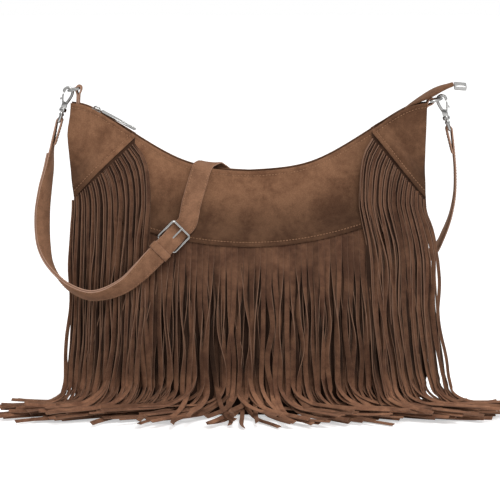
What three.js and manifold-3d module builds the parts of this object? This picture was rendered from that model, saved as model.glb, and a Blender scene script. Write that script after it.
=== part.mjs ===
// A slouchy suede shoulder bag with long cut fringe, an adjustable strap, snap hooks and a top zip.
// Millimetres. +X is the wearer's right-hand end in the front view, the front faces -Y, +Z is up.
// The origin is the middle of the base, on the floor.
import * as THREE from 'three';
import { mergeVertices } from 'three/addons/utils/BufferGeometryUtils.js';
import Module from 'manifold-3d';

const wasm = await Module();
wasm.setup();

// Driving dimensions of the bag's body
const HALF_WIDTH = 186;
const DIP_HEIGHT = 249.5;
const TOP_SLOPE = 0.72;
const SLOPE_START = 66;
const SLOPE_END = 170;
const DIP_ROUND = 36;
const EAR_ROUND = 16;
const CORNER_RADIUS = 46;
const TOP_HALF_DEPTH = 10;
const BASE_HALF_DEPTH = 40;
const BELLY = 26;
const BELLY_HEIGHT = 0.42;
const SEAM_HEIGHT = 174;
const SEAM_RISE = 49;
const EAR_START = 120;

// Leather, clearances and seams
const LEATHER = 1.2;
const GAP = 0.3;
const LAYER = LEATHER + 2 * GAP;
const WALL_GAP = 0.8;
const SEAM_ALLOWANCE = 8;
const LINING = 0.8;
const MOUTH_DROP = 6;
const RIM_INSET = 3;

// Fringe
const BAND = 14;
const FRONT_STRANDS = 38;
const FRONT_REACH = 158;
const FRONT_WIDTH = 7;
const SIDE_STRANDS = 12;
const SIDE_WIDTH = 4.4;
const SIDE_ARCH = 11;
const ARCH_HEIGHT = 16;
const FLOOR_BEND = 20;
const FRONT_TAIL = 44;
const FRONT_SPREAD = 0.04;
const SIDE_TAIL = 46;
const SIDE_LIFT = 4.5;

// Zip
const TAPE = 0.8;
const TAPE_DROP = 2.5;
const TEETH_HALF = 1.5;
const TEETH_THICK = 1.6;
const TEETH_FROM = 34 - HALF_WIDTH;
const TEETH_TO = HALF_WIDTH - 25;
const SLIDER_X = 27 - HALF_WIDTH;
const SLIDER_LONG = 11;
const SLIDER_WIDE = 8;

// Strap and hardware
const STRAP_WIDE = 20;
const STRAP_THICK = 1.6;
const WIRE = 1.5;
const RING_WIDE = 22;
const RING_DEEP = 11;
const HOOK_BORE = 3;
const HOOK_WIRE = 1.5;
const STEM = 1.6;
const EYE_DROP = 21.6;
const BUCKLE_LONG = 26;
const BUCKLE_WIRE = 1.3;
const BUCKLE_WIDE = 26.4;

const bag = new THREE.Group();

const SUEDE = { color: 0x6a4937, roughness: 0.95, metalness: 0 };
const STRAP_SUEDE = { color: 0x815e48, roughness: 0.9, metalness: 0 };
const LINING_CLOTH = { color: 0x3a2c24, roughness: 0.9, metalness: 0 };
const ZIP_CLOTH = { color: 0x2e211b, roughness: 0.85, metalness: 0 };
const NICKEL = { color: 0xc9c9cc, roughness: 0.2, metalness: 1 };

function addPart(name, geometry, look) {
  const mesh = new THREE.Mesh(geometry, new THREE.MeshStandardMaterial(look));
  mesh.name = name;
  bag.add(mesh);
  return mesh;
}

const clamp = THREE.MathUtils.clamp;
const lerp = THREE.MathUtils.lerp;
const smooth = (value, from, to) => THREE.MathUtils.smoothstep(value, from, to);

// Signed volume tells whether the faces point out
function volumeOf(points, faces) {
  let sum = 0;
  for (const [a, b, c] of faces) {
    const cross = new THREE.Vector3().crossVectors(points[b], points[c]);
    sum += points[a].dot(cross);
  }
  return sum / 6;
}

function closedGeometry(points, faces) {
  const turned = volumeOf(points, faces) < 0;
  const geometry = new THREE.BufferGeometry();
  const numbers = points.flatMap((point) => point.toArray());
  geometry.setAttribute('position', new THREE.Float32BufferAttribute(numbers, 3));
  geometry.setIndex(faces.flatMap(([a, b, c]) => (turned ? [a, c, b] : [a, b, c])));
  return geometry;
}

// A sheet with a thickness: two grids of points, one for each face, closed along their edges
function slab(across, along, faceA, faceB) {
  const points = [];
  const faces = [];
  const width = across + 1;
  const count = width * (along + 1);
  for (const face of [faceA, faceB]) {
    for (let j = 0; j <= along; j += 1) {
      for (let i = 0; i <= across; i += 1) {
        points.push(face(i / across, j / along));
      }
    }
  }
  const quad = (a, b, c, d) => faces.push([a, b, c], [a, c, d]);
  const at = (i, j, side) => side * count + j * width + i;
  for (let j = 0; j < along; j += 1) {
    for (let i = 0; i < across; i += 1) {
      quad(at(i, j, 0), at(i + 1, j, 0), at(i + 1, j + 1, 0), at(i, j + 1, 0));
      quad(at(i, j, 1), at(i, j + 1, 1), at(i + 1, j + 1, 1), at(i + 1, j, 1));
    }
    quad(at(0, j, 0), at(0, j + 1, 0), at(0, j + 1, 1), at(0, j, 1));
    quad(at(across, j, 0), at(across, j, 1), at(across, j + 1, 1), at(across, j + 1, 0));
  }
  for (let i = 0; i < across; i += 1) {
    quad(at(i, 0, 0), at(i, 0, 1), at(i + 1, 0, 1), at(i + 1, 0, 0));
    quad(at(i, along, 0), at(i + 1, along, 0), at(i + 1, along, 1), at(i, along, 1));
  }
  return closedGeometry(points, faces);
}

// A bar swept along points; section points are given in the (side, lift) frame of each point
function sweep(frames, section, closed) {
  const points = frames.flatMap(({ at, side, lift }) => section.map(([s, l]) => (
    at.clone().addScaledVector(side, s).addScaledVector(lift, l))));
  const faces = [];
  const n = section.length;
  const rings = frames.length;
  const spans = closed ? rings : rings - 1;
  for (let j = 0; j < spans; j += 1) {
    const next = (j + 1) % rings;
    for (let i = 0; i < n; i += 1) {
      const k = (i + 1) % n;
      faces.push([j * n + i, j * n + k, next * n + k], [j * n + i, next * n + k, next * n + i]);
    }
  }
  if (!closed) {
    for (let i = 1; i < n - 1; i += 1) {
      faces.push([0, i + 1, i], [(rings - 1) * n, (rings - 1) * n + i, (rings - 1) * n + i + 1]);
    }
  }
  return closedGeometry(points, faces);
}

function roundSection(radius, sides) {
  return Array.from({ length: sides }, (_, i) => {
    const turn = (i + 0.5) * 2 * Math.PI / sides;
    return [radius * Math.cos(turn), radius * Math.sin(turn)];
  });
}

function flatSection(wide, thick) {
  const [s, l] = [wide / 2, thick / 2];
  return [[-s, -l], [s, -l], [s, l], [-s, l]];
}

// Frames along a flat path: side is the path's plane normal, lift lies in the plane
function planeFrames(points, normal, closed) {
  return points.map((at, i) => {
    const before = points[closed ? (i + points.length - 1) % points.length : Math.max(i - 1, 0)];
    const after = points[closed ? (i + 1) % points.length : Math.min(i + 1, points.length - 1)];
    const along = after.clone().sub(before).normalize();
    return { at, side: normal.clone(), lift: along.cross(normal).normalize() };
  });
}

function toSolid(geometry) {
  const plain = geometry.clone();
  plain.deleteAttribute('normal');
  plain.deleteAttribute('uv');
  const merged = mergeVertices(plain, 1e-4);
  return new wasm.Manifold(new wasm.Mesh({
    numProp: 3,
    vertProperties: new Float32Array(merged.attributes.position.array),
    triVerts: new Uint32Array(merged.index.array),
  }));
}

function toGeometry(solid) {
  const mesh = solid.getMesh();
  const geometry = new THREE.BufferGeometry();
  geometry.setAttribute('position', new THREE.BufferAttribute(mesh.vertProperties, 3));
  geometry.setIndex(new THREE.BufferAttribute(mesh.triVerts, 1));
  return geometry;
}

function joined(geometries) {
  return toGeometry(geometries.map(toSolid).reduce((a, b) => a.add(b)));
}

function cut(geometry, ...tools) {
  return toGeometry(tools.map(toSolid).reduce((a, b) => a.subtract(b), toSolid(geometry)));
}

function placed(geometry, origin, xAxis, yAxis, zAxis) {
  const matrix = new THREE.Matrix4().makeBasis(xAxis, yAxis, zAxis).setPosition(origin);
  return geometry.applyMatrix4(matrix);
}

// Outline of the bag seen from the front
const hinge = (u, radius) => (u + Math.hypot(u, radius)) / 2;

function rise(x) {
  const side = Math.abs(x);
  return TOP_SLOPE * (hinge(side - SLOPE_START, DIP_ROUND) - hinge(side - SLOPE_END, EAR_ROUND));
}

const topAt = (x) => DIP_HEIGHT + rise(x) - rise(0);

function bottomAt(x) {
  const past = Math.max(0, Math.abs(x) - (HALF_WIDTH - CORNER_RADIUS));
  return CORNER_RADIUS - Math.sqrt(Math.max(0, CORNER_RADIUS ** 2 - past ** 2));
}

const seamAt = (x) => SEAM_HEIGHT + SEAM_RISE * (x / HALF_WIDTH) ** 2;

const EAR_DROP = (topAt(EAR_START) - seamAt(HALF_WIDTH)) / (HALF_WIDTH - EAR_START);
const earSeamAt = (x) => topAt(EAR_START) - (Math.abs(x) - EAR_START) * EAR_DROP;

// Half the bag's thickness at a point of the front view
function halfDepth(x, z) {
  const low = bottomAt(x);
  const share = clamp((z - low) / (topAt(x) - low), 0, 1);
  const edge = TOP_HALF_DEPTH + (BASE_HALF_DEPTH - TOP_HALF_DEPTH) * (1 - share) ** 1.2;
  const swell = Math.max(0, 1 - ((share - BELLY_HEIGHT) / (1 - BELLY_HEIGHT)) ** 2);
  return edge + BELLY * swell * (1 - Math.abs(x / HALF_WIDTH) ** 3);
}

// How far each layer stands off the body panel; a seam's step fades out above it
const STEP_FULL = SEAM_ALLOWANCE + 1;
const STEP_GONE = 21;
const YOKE_COLUMNS = 20;
const FADE_FROM = 0.75 * HALF_WIDTH;
const FADE_TO = 0.85 * HALF_WIDTH;
const sideShare = (x) => clamp((Math.abs(x) - FADE_FROM) / (FADE_TO - FADE_FROM), 0, 1);
const yokeStep = (x, z) => (
  2 * LAYER * Math.max(1 - smooth(z - seamAt(x), STEP_FULL, STEP_GONE), sideShare(x)));
const earStep = (x, z) => (
  (yokeStep(x, z) + 2 * LAYER) * (1 - smooth((z - earSeamAt(x)) * Math.SQRT1_2, STEP_FULL, STEP_GONE)));
const flat = () => 0;

// Rows of a sheet: the first few stand at set heights over the seam, where the step needs them
function rowHeight(v, along, tall, set) {
  const row = Math.round(v * along);
  const last = set.length;
  const setHeight = (k) => Math.min(tall * k / along, k ? set[k - 1] : 0);
  if (row <= last) return setHeight(row);
  return lerp(setHeight(last), tall, (row - last) / (along - last));
}

// A sheet on the front or the back of the bag, between two heights at each x
function bodySheet({ across, along, xAt, lowAt, highAt, step, side, set = [], thick = LEATHER }) {
  const face = (inset) => (u, v) => {
    const x = xAt(u);
    const z = lowAt(x) + rowHeight(v, along, highAt(x) - lowAt(x), set);
    return new THREE.Vector3(x, side * (halfDepth(x, z) + step(x, z) - inset), z);
  };
  return slab(across, along, face(0), face(thick));
}

// Columns crowd towards the rounded lower corners
function fullWidth(u) {
  const spread = 2 * u - 1;
  return HALF_WIDTH * Math.sin(spread * Math.PI / 2);
}

const EAR_COLUMNS = 6;
const EAR_TIP = 1.5;
const panelTop = (x) => seamAt(x) + SEAM_ALLOWANCE + 1;

function buildBody() {
  for (const [name, side] of [['front', -1], ['back', 1]]) {
    addPart(`${name}_panel`, bodySheet({
      across: 18, along: 7, xAt: fullWidth, lowAt: bottomAt, highAt: panelTop, step: flat, side,
    }), SUEDE);
    addPart(`${name}_yoke`, bodySheet({
      across: YOKE_COLUMNS, along: 5, xAt: (u) => lerp(-HALF_WIDTH, HALF_WIDTH, u), lowAt: seamAt, side,
      highAt: (x) => Math.min(topAt(x), earSeamAt(x) + SEAM_ALLOWANCE), step: yokeStep,
      set: [STEP_FULL, (STEP_FULL + STEP_GONE) / 2, STEP_GONE],
    }), SUEDE);
    for (const [end, sign] of [['left', -1], ['right', 1]]) {
      addPart(`${end}_${name}_ear`, bodySheet({
        across: EAR_COLUMNS, along: 5, xAt: (u) => sign * lerp(EAR_START + EAR_TIP, HALF_WIDTH, u), side,
        lowAt: earSeamAt, highAt: topAt, step: earStep,
        set: [STEP_FULL * Math.SQRT2, (STEP_FULL + STEP_GONE) * Math.SQRT1_2, STEP_GONE * Math.SQRT2],
      }), SUEDE);
    }
  }
}

// The side wall runs down from the ear and round the lower corner, to meet the base
const GUSSET_DROP = 12;
const SIDE_ROWS = 12;
const CORNER_ROWS = 6;

function gussetPath(sign) {
  const path = [];
  for (let i = 0; i <= SIDE_ROWS; i += 1) {
    const z = lerp(topAt(HALF_WIDTH) - GUSSET_DROP, CORNER_RADIUS, i / SIDE_ROWS);
    path.push({ x: sign * HALF_WIDTH, z, inX: -sign, inZ: 0 });
  }
  for (let i = 1; i <= CORNER_ROWS; i += 1) {
    const turn = (i / CORNER_ROWS) * Math.PI / 2;
    path.push({
      x: sign * (HALF_WIDTH - CORNER_RADIUS * (1 - Math.cos(turn))),
      z: CORNER_RADIUS * (1 - Math.sin(turn)),
      inX: -sign * Math.cos(turn),
      inZ: Math.sin(turn),
    });
  }
  return path;
}

function wallFace(path, inset, columns) {
  return (u, v) => {
    const { x, z, inX, inZ } = path[Math.round(v * (path.length - 1))];
    const half = halfDepth(x, z) - LEATHER - WALL_GAP;
    return new THREE.Vector3(x + inset * inX, lerp(-half, half, u), z + inset * inZ);
  };
}

function buildWalls() {
  for (const [end, sign] of [['left', -1], ['right', 1]]) {
    const path = gussetPath(sign);
    addPart(`${end}_gusset`, slab(2, path.length - 1, wallFace(path, 0), wallFace(path, LEATHER)), SUEDE);
  }
  const reach = HALF_WIDTH - CORNER_RADIUS - GAP;
  const BASE_ROWS = 14;
  const base = Array.from({ length: BASE_ROWS + 1 }, (_, i) => (
    { x: lerp(-reach, reach, i / BASE_ROWS), z: 0, inX: 0, inZ: 1 }));
  addPart('base_panel', slab(2, BASE_ROWS, wallFace(base, 0), wallFace(base, LEATHER)), SUEDE);
}

// The lining is an open cup, cut from two bag-shaped solids
function bagSolid(inset, floor, extra) {
  const share = (HALF_WIDTH - inset) / HALF_WIDTH;
  const face = (side) => (u, v) => {
    const x = fullWidth(u) * share;
    const low = bottomAt(fullWidth(u)) * share + floor;
    const rim = Math.min(topAt(x) - MOUTH_DROP, topAt(HALF_WIDTH) - GUSSET_DROP - RIM_INSET);
    const z = lerp(low, rim + extra, v);
    return new THREE.Vector3(x, side * (halfDepth(x, z) - inset), z);
  };
  return slab(12, 5, face(-1), face(1));
}

function buildLining() {
  const inset = LEATHER + WALL_GAP + GAP;
  const floor = LEATHER + GAP;
  const outer = bagSolid(inset, floor, 0);
  const inner = bagSolid(inset + LINING, floor + LINING, 2);
  addPart('lining', cut(outer, inner), LINING_CLOTH);
}

// Zip along the top edge
function topTilt(x) {
  const step = 0.5;
  return Math.atan2(topAt(x + step) - topAt(x - step), 2 * step);
}

function topStrip({ from, to, spans, yA, yB, high, thick }) {
  const face = (drop) => (u, v) => {
    const x = lerp(from, to, v);
    return new THREE.Vector3(x, lerp(yA, yB, u), topAt(x) - drop);
  };
  return slab(1, spans, face(high), face(high + thick));
}

const TAPE_END = HALF_WIDTH - 14;

function buildZip() {
  const outer = TOP_HALF_DEPTH - LEATHER - GAP;
  const inner = TEETH_HALF + GAP;
  for (const [name, side] of [['front', -1], ['back', 1]]) {
    addPart(`zip_tape_${name}`, topStrip({
      from: -TAPE_END, to: TAPE_END, spans: 36, yA: side * outer, yB: side * inner,
      high: TAPE_DROP, thick: TAPE,
    }), ZIP_CLOTH);
  }
  addPart('zip_teeth', topStrip({
    from: TEETH_FROM, to: TEETH_TO, spans: 44, yA: -TEETH_HALF, yB: TEETH_HALF,
    high: TAPE_DROP + (TAPE - TEETH_THICK) / 2, thick: TEETH_THICK,
  }), NICKEL);
}

function boxAt(x, y, z, cx, cy, cz) {
  const geometry = new THREE.BoxGeometry(x, y, z);
  geometry.translate(cx, cy, cz);
  return geometry;
}

function cylinderAlongY(radius, length, x, y, z, sides = 16) {
  const geometry = new THREE.CylinderGeometry(radius, radius, length, sides);
  geometry.translate(x, y, z);
  return geometry;
}

const UP = new THREE.Vector3(0, 0, 1);
const DEPTH = new THREE.Vector3(0, 1, 0);
const vec = (x, y, z) => new THREE.Vector3(x, y, z);

// Slider: an upper plate with a bail on it, riding just over the tapes and the teeth
const BITE = 0.2;
const SLIDER_PLATE = 1.4;
const SLIDER_FLOOR = -TAPE_DROP + GAP + (TEETH_THICK - TAPE) / 2;
const SLIDER_TOP = SLIDER_FLOOR + SLIDER_PLATE;
const BAIL_LONG = 8;
const BAIL_WIDE = 2.2;
const BAIL_POST = 2;
const BAIL_GAP = 3;
const BAIL_THICK = 1.3;
const PULL_THICK = 1.4;
const PULL_LONG = 44;
const PULL_WIDE = 5;
const PULL_HEAD = 7;
const PULL_BAR = 1.6;

function sliderFrame() {
  const tilt = topTilt(SLIDER_X);
  const along = vec(Math.cos(tilt), 0, Math.sin(tilt));
  const up = vec(-Math.sin(tilt), 0, Math.cos(tilt));
  return { origin: vec(SLIDER_X, 0, topAt(SLIDER_X)), along, up };
}

function buildSlider() {
  const { origin, along, up } = sliderFrame();
  const plate = boxAt(SLIDER_LONG, SLIDER_WIDE, SLIDER_PLATE, 0, 0, SLIDER_TOP - SLIDER_PLATE / 2);
  const postX = (BAIL_LONG - BAIL_POST) / 2;
  const tall = BAIL_GAP + BAIL_THICK;
  const post = (x) => boxAt(BAIL_POST, BAIL_WIDE, tall + BITE, x, 0, SLIDER_TOP + (tall - BITE) / 2);
  const bridge = boxAt(BAIL_LONG, BAIL_WIDE, BAIL_THICK, 0, 0, SLIDER_TOP + BAIL_GAP + BAIL_THICK / 2);
  const slider = joined([plate, post(-postX), post(postX), bridge]);
  addPart('zip_slider', placed(slider, origin, along, DEPTH, up), NICKEL);

  // The pull: a cross bar under the bail's bridge, sides round it, then a slim bar down the slope
  const pivot = origin.clone().addScaledVector(up, SLIDER_TOP + BAIL_GAP - GAP - PULL_THICK / 2);
  const inner = PULL_BAR / 2;
  const windowTo = BAIL_LONG / 2 + 1;
  const headTo = windowTo + 2;
  const head = boxAt(headTo + inner, PULL_HEAD, PULL_THICK, (headTo - inner) / 2, 0, 0);
  const windowWide = BAIL_WIDE + 4 * GAP;
  const window = boxAt(windowTo - inner, windowWide, 2 * PULL_THICK, (windowTo + inner) / 2, 0, 0);
  const bar = boxAt(PULL_LONG - windowTo, PULL_WIDE, PULL_THICK, (PULL_LONG + windowTo) / 2 + 1, 0, 0);
  const bead = cylinderAlongY(PULL_THICK, PULL_WIDE, PULL_LONG + 1, 0, 0, 12);
  const pull = joined([cut(head, window), bar, bead]);
  addPart('zip_pull', placed(pull, pivot, along, DEPTH, up), NICKEL);
}

// The zip's free end: a rolled suede tab past the right ear, with a metal end clip
const TAIL_START = TEETH_TO + 2;
const TAIL_WIDE = [14, 8];
const TAIL_BELLY = 13;
const TAIL_THICK = 2.4;
const TAIL_LEAN = 0.35;
const pastEar = (x, z) => vec(HALF_WIDTH + x, 0, topAt(HALF_WIDTH) + z);
const TAIL = [
  vec(TAIL_START, 0, topAt(TAIL_START) - TAPE_DROP + GAP), pastEar(-10, 0.6), pastEar(2, 7.6),
  pastEar(14, 13.6), pastEar(27, 18.3),
];
const CLIP_LONG = 13;
const CLIP_WIDE = 12;
const CLIP_THICK = 5;
const CLIP_DROP = 1.2;
const CLIP_DIP = 0.09;

// A tab whose width swells between its ends and turns about its length by the lean
function tailTab(spans) {
  const curve = new THREE.CatmullRomCurve3(TAIL);
  const face = (lift) => (u, v) => {
    const at = curve.getPoint(v);
    const along = curve.getTangent(v);
    const width = vec(0, Math.cos(TAIL_LEAN * v), Math.sin(TAIL_LEAN * v));
    const up = along.clone().cross(width).normalize();
    const half = (lerp(TAIL_WIDE[0], TAIL_WIDE[1], v) + TAIL_BELLY * Math.sin(Math.PI * v) ** 2) / 2;
    return at.addScaledVector(width, lerp(-half, half, u)).addScaledVector(up, lift);
  };
  return slab(2, spans, face(0), face(TAIL_THICK));
}

function buildZipTail() {
  addPart('zip_end_tab', tailTab(8), SUEDE);
  const end = TAIL[TAIL.length - 1];
  const clip = boxAt(CLIP_LONG, CLIP_WIDE, CLIP_THICK, CLIP_LONG / 2 + GAP, 0, -CLIP_DROP);
  const along = vec(Math.cos(CLIP_DIP), 0, -Math.sin(CLIP_DIP));
  const width = vec(0, Math.cos(TAIL_LEAN), Math.sin(TAIL_LEAN));
  width.addScaledVector(along, -along.dot(width)).normalize();
  const up = along.clone().cross(width);
  addPart('zip_end_clip', placed(clip, end.clone(), along, width, up), NICKEL);
}

// D-rings: a straight bar along the bag's depth, held by a leather tab, and a round bow
const LEFT_BAR = vec(9 - HALF_WIDTH, 0, topAt(HALF_WIDTH) + 14.6);
const ENDS = [
  { name: 'left', sign: -1, bar: LEFT_BAR, out: vec(-0.97, 0, -0.24), lean: 0.3 },
  { name: 'right', sign: 1, bar: pastEar(3.5, 1.6), out: vec(0.98, 0, 0.2), lean: 0.25 },
];

function ringPath(bar, out) {
  const path = [];
  const BOW_STEPS = 12;
  for (let i = 0; i <= BOW_STEPS; i += 1) {
    const turn = (i / BOW_STEPS) * Math.PI;
    const reach = RING_DEEP * Math.sin(turn);
    const over = -Math.cos(turn) * RING_WIDE / 2;
    path.push(bar.clone().addScaledVector(out, reach).addScaledVector(DEPTH, over));
  }
  path.push(bar.clone());
  return path;
}

function buildRing({ name, bar, out }) {
  const normal = out.clone().cross(DEPTH).normalize();
  const path = ringPath(bar, out);
  addPart(`${name}_d_ring`, sweep(planeFrames(path, normal, true), roundSection(WIRE, 8), true), NICKEL);
}

// The tab: a leather loop from the ear's corner, round the ring's bar and back
const TAB_LEATHER = 1.6;
const TAB_INSET = 7.5;
const LOOP = WIRE + GAP + TAB_LEATHER / 2;

function buildTab({ name, sign, bar }) {
  const foot = vec(sign * (HALF_WIDTH - TAB_INSET), 0, topAt(HALF_WIDTH) - GUSSET_DROP + 2);
  const away = bar.clone().sub(foot).normalize();
  const side = away.clone().cross(DEPTH).normalize();
  const path = [];
  const reach = bar.clone().sub(foot).length();
  path.push(foot.clone().addScaledVector(side, -LOOP));
  path.push(foot.clone().addScaledVector(side, -LOOP).addScaledVector(away, reach * 0.5));
  const LOOP_STEPS = 8;
  for (let i = 0; i <= LOOP_STEPS; i += 1) {
    const turn = (i / LOOP_STEPS) * Math.PI;
    const at = bar.clone().addScaledVector(side, -LOOP * Math.cos(turn));
    path.push(at.addScaledVector(away, LOOP * Math.sin(turn)));
  }
  path.push(foot.clone().addScaledVector(side, LOOP).addScaledVector(away, reach * 0.5));
  path.push(foot.clone().addScaledVector(side, LOOP));
  const half = TAB_LEATHER / 2;
  const wide = RING_WIDE / 2 - WIRE - 1.2;
  const section = [[-wide, -half], [wide, -half], [wide, half], [-wide, half]];
  addPart(`${name}_tab`, sweep(planeFrames(path, DEPTH, false), section, false), SUEDE);
}

// Snap hook: a claw over the ring's bow, a sprung trigger, and a stem that swivels in the strap's eye
function hookFrame({ sign, bar, out, lean }) {
  const wire = bar.clone().addScaledVector(out, RING_DEEP);
  const up = vec(-sign * Math.sin(lean), 0, Math.cos(lean));
  const across = DEPTH.clone().cross(up).multiplyScalar(sign).normalize();
  const origin = wire.clone().addScaledVector(up, -(HOOK_BORE - WIRE - GAP));
  return { origin, up, across, deep: up.clone().cross(across).normalize() };
}

function turned(radius, length, sides, top) {
  const geometry = new THREE.CylinderGeometry(radius, radius, length, sides);
  geometry.rotateX(Math.PI / 2);
  geometry.translate(0, 0, top - length / 2);
  return geometry;
}

const COLLAR = 3.6;
const COLLAR_WALL = 2.2;
const HEART_Z = -14;
const HEART_TALL = 7;
const HEART_WIDE = 6;
const HEART_DEEP = 4.6;
const SLOT_DEEP = 2.4;
const SHOULDER_ROUND = 2.6;
const HEAD_ROUND = 2.8;
const HEAD_TALL = 1.9;
const NOSE_DROP = 2;

function clawGeometry() {
  const middle = HOOK_BORE + HOOK_WIRE;
  const path = [
    vec(-0.8, 0, HEART_Z), vec(-2.4, 0, -10), vec(0.8 - middle, 0, -6), vec(-middle, 0, -2.5),
    vec(-middle, 0, 0),
  ];
  const ARC_STEPS = 7;
  for (let i = 1; i <= ARC_STEPS; i += 1) {
    const turn = (i / ARC_STEPS) * Math.PI;
    path.push(vec(-middle * Math.cos(turn), 0, middle * Math.sin(turn)));
  }
  path.push(vec(middle - BITE, 0, -NOSE_DROP));
  const claw = sweep(planeFrames(path, DEPTH, false), roundSection(HOOK_WIRE, 8), false);
  const heart = boxAt(HEART_WIDE, HEART_DEEP, HEART_TALL, 0, 0, HEART_Z);
  const slot = boxAt(HEART_WIDE, SLOT_DEEP, HEART_TALL - 2, HEART_WIDE / 2 + 0.7, 0, HEART_Z + 1.2);
  const heartEnd = HEART_Z - HEART_TALL / 2;
  const collarTop = -EYE_DROP + COLLAR / 2;
  const shoulder = turned(SHOULDER_ROUND, heartEnd - collarTop - GAP + BITE, 12, heartEnd + BITE);
  const stem = turned(STEM, COLLAR + 2 * (GAP + BITE), 10, collarTop + GAP + BITE);
  const head = turned(HEAD_ROUND, HEAD_TALL, 12, -EYE_DROP - COLLAR / 2 - GAP);
  return joined([cut(joined([claw, heart]), slot), shoulder, stem, head]);
}

const GATE_FOOT = 2.3;
const GATE_WIDE = 1.8;
const GATE_THICK = 1.5;

function triggerGeometry() {
  const middle = HOOK_BORE + HOOK_WIRE;
  const path = [
    vec(GATE_FOOT, 0, HEART_Z + 1), vec(3.2, 0, -9.5), vec(middle - 0.4, 0, -6),
    vec(middle - 0.1, 0, -NOSE_DROP - 3 * GAP),
  ];
  const gate = sweep(planeFrames(path, DEPTH, false), flatSection(GATE_WIDE, GATE_THICK), false);
  const knob = boxAt(2.6, GATE_WIDE, 3, middle + 0.4, 0, -8.6);
  return joined([gate, knob]);
}

// The eye: a rectangular loop for the strap, with a bored collar for the stem
const EYE_WIDE = STRAP_WIDE + 2 * GAP + 0.6;
const EYE_TALL = 10;

function eyeGeometry() {
  const half = EYE_WIDE / 2 + WIRE;
  const low = -EYE_DROP - EYE_TALL;
  const corner = 1;
  const bevel = 1.4;
  const path = [
    vec(0, -half, -EYE_DROP - bevel), vec(0, -half, low + corner), vec(0, -half + corner, low),
    vec(0, half - corner, low), vec(0, half, low + corner), vec(0, half, -EYE_DROP - bevel),
    vec(0, half - bevel, -EYE_DROP), vec(0, -half + bevel, -EYE_DROP),
  ];
  const loop = sweep(planeFrames(path, vec(1, 0, 0), true), roundSection(WIRE, 8), true);
  const collar = turned(STEM + COLLAR_WALL, COLLAR, 12, -EYE_DROP + COLLAR / 2);
  const bore = turned(STEM + GAP, COLLAR + 2, 12, -EYE_DROP + COLLAR / 2 + 1);
  return cut(joined([loop, collar]), bore);
}

function buildHook(end) {
  const { origin, up, across, deep } = hookFrame(end);
  const put = (geometry) => placed(geometry, origin.clone(), across, deep, up);
  addPart(`${end.name}_hook`, put(clawGeometry()), NICKEL);
  addPart(`${end.name}_trigger`, put(triggerGeometry()), NICKEL);
  addPart(`${end.name}_swivel_eye`, put(eyeGeometry()), NICKEL);
}

// Strap: two pieces joined by the buckle. Each route is a list of hand-chosen points of its middle line,
// with the way its width lies there.
const STRAP_FOLD = WIRE + GAP + STRAP_THICK / 2;
const STRAP_LAYER = STRAP_THICK + GAP;
const STRAP_SECTION = flatSection(STRAP_WIDE, STRAP_THICK);
const FOLD_STUB = 26;
const HEEL_STUB = 18;
const TIP_BACK = 4;

function routeFrames(keys, steps, turn) {
  const curve = new THREE.CatmullRomCurve3(keys.map(([at]) => at), false, 'centripetal');
  const widths = new THREE.CatmullRomCurve3(keys.map(([, wide]) => wide), false, 'centripetal');
  const frames = [];
  for (let i = 0; i <= steps; i += 1) {
    const along = curve.getTangent(i / steps);
    const side = widths.getPoint(i / steps);
    side.addScaledVector(along, -side.dot(along)).normalize();
    const lift = side.clone().cross(along).multiplyScalar(turn).normalize();
    frames.push({ at: curve.getPoint(i / steps), side, lift });
  }
  return frames;
}

// A half turn round a bar, from one side of it to the other, over its far side
function foldFrames(bar, side, from, over, steps = 6) {
  return Array.from({ length: steps + 1 }, (_, i) => {
    const turn = (i / steps) * Math.PI;
    const lift = from.clone().multiplyScalar(Math.cos(turn)).addScaledVector(over, Math.sin(turn));
    return { at: bar.clone().addScaledVector(lift, STRAP_FOLD), side: side.clone(), lift };
  });
}

function eyeBar(end) {
  const { origin, up } = hookFrame(end);
  return origin.addScaledVector(up, -EYE_DROP - EYE_TALL);
}

const BUCKLE_AT = vec(-77.5, -44.8, 185.4);
const BUCKLE_ALONG = vec(0.69, 0.19, 0.69).normalize();
const BUCKLE_ACROSS = vec(0.72, 0, -0.69);
BUCKLE_ACROSS.addScaledVector(BUCKLE_ALONG, -BUCKLE_ACROSS.dot(BUCKLE_ALONG)).normalize();
const BUCKLE_OUT = BUCKLE_ACROSS.clone().cross(BUCKLE_ALONG).normalize();
const HALF_FRAME = BUCKLE_LONG / 2 - BUCKLE_WIRE;

const atBuckle = (along, out) => (
  BUCKLE_AT.clone().addScaledVector(BUCKLE_ALONG, along).addScaledVector(BUCKLE_OUT, out));

// The loop that hangs at the bag's left, from the left eye round to the buckle's heel bar
function loopKeys() {
  const bar = eyeBar(ENDS[0]);
  return [
    [vec(bar.x - STRAP_FOLD, 0, bar.z), vec(0, 1, 0)],
    [vec(-205.4, -2, 274), vec(0.1, 0.99, 0)],
    [vec(-208, -6, 252), vec(0.35, 0.93, 0)],
    [vec(-212, -12, 229), vec(0.55, 0.83, 0)],
    [vec(-214.5, -18, 205), vec(0.65, 0.76, 0)],
    [vec(-213, -27, 177), vec(0.6, 0.77, -0.2)],
    [vec(-208, -35, 160), vec(0.4, 0.85, -0.35)],
    [vec(-197, -42, 144), vec(0.2, 0.87, -0.45)],
    [vec(-182, -50, 132.5), vec(0.05, 0.87, -0.5)],
    [vec(-160, -58, 127), vec(0, 0.85, -0.55)],
    [vec(-130, -61, 137), vec(0.2, 0.6, -0.75)],
    [atBuckle(-HALF_FRAME - 20, STRAP_FOLD), vec(0.66, 0.1, -0.74)],
    [atBuckle(-HALF_FRAME - 10, STRAP_FOLD), BUCKLE_ACROSS],
    [atBuckle(-HALF_FRAME, STRAP_FOLD), BUCKLE_ACROSS],
  ];
}

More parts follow.
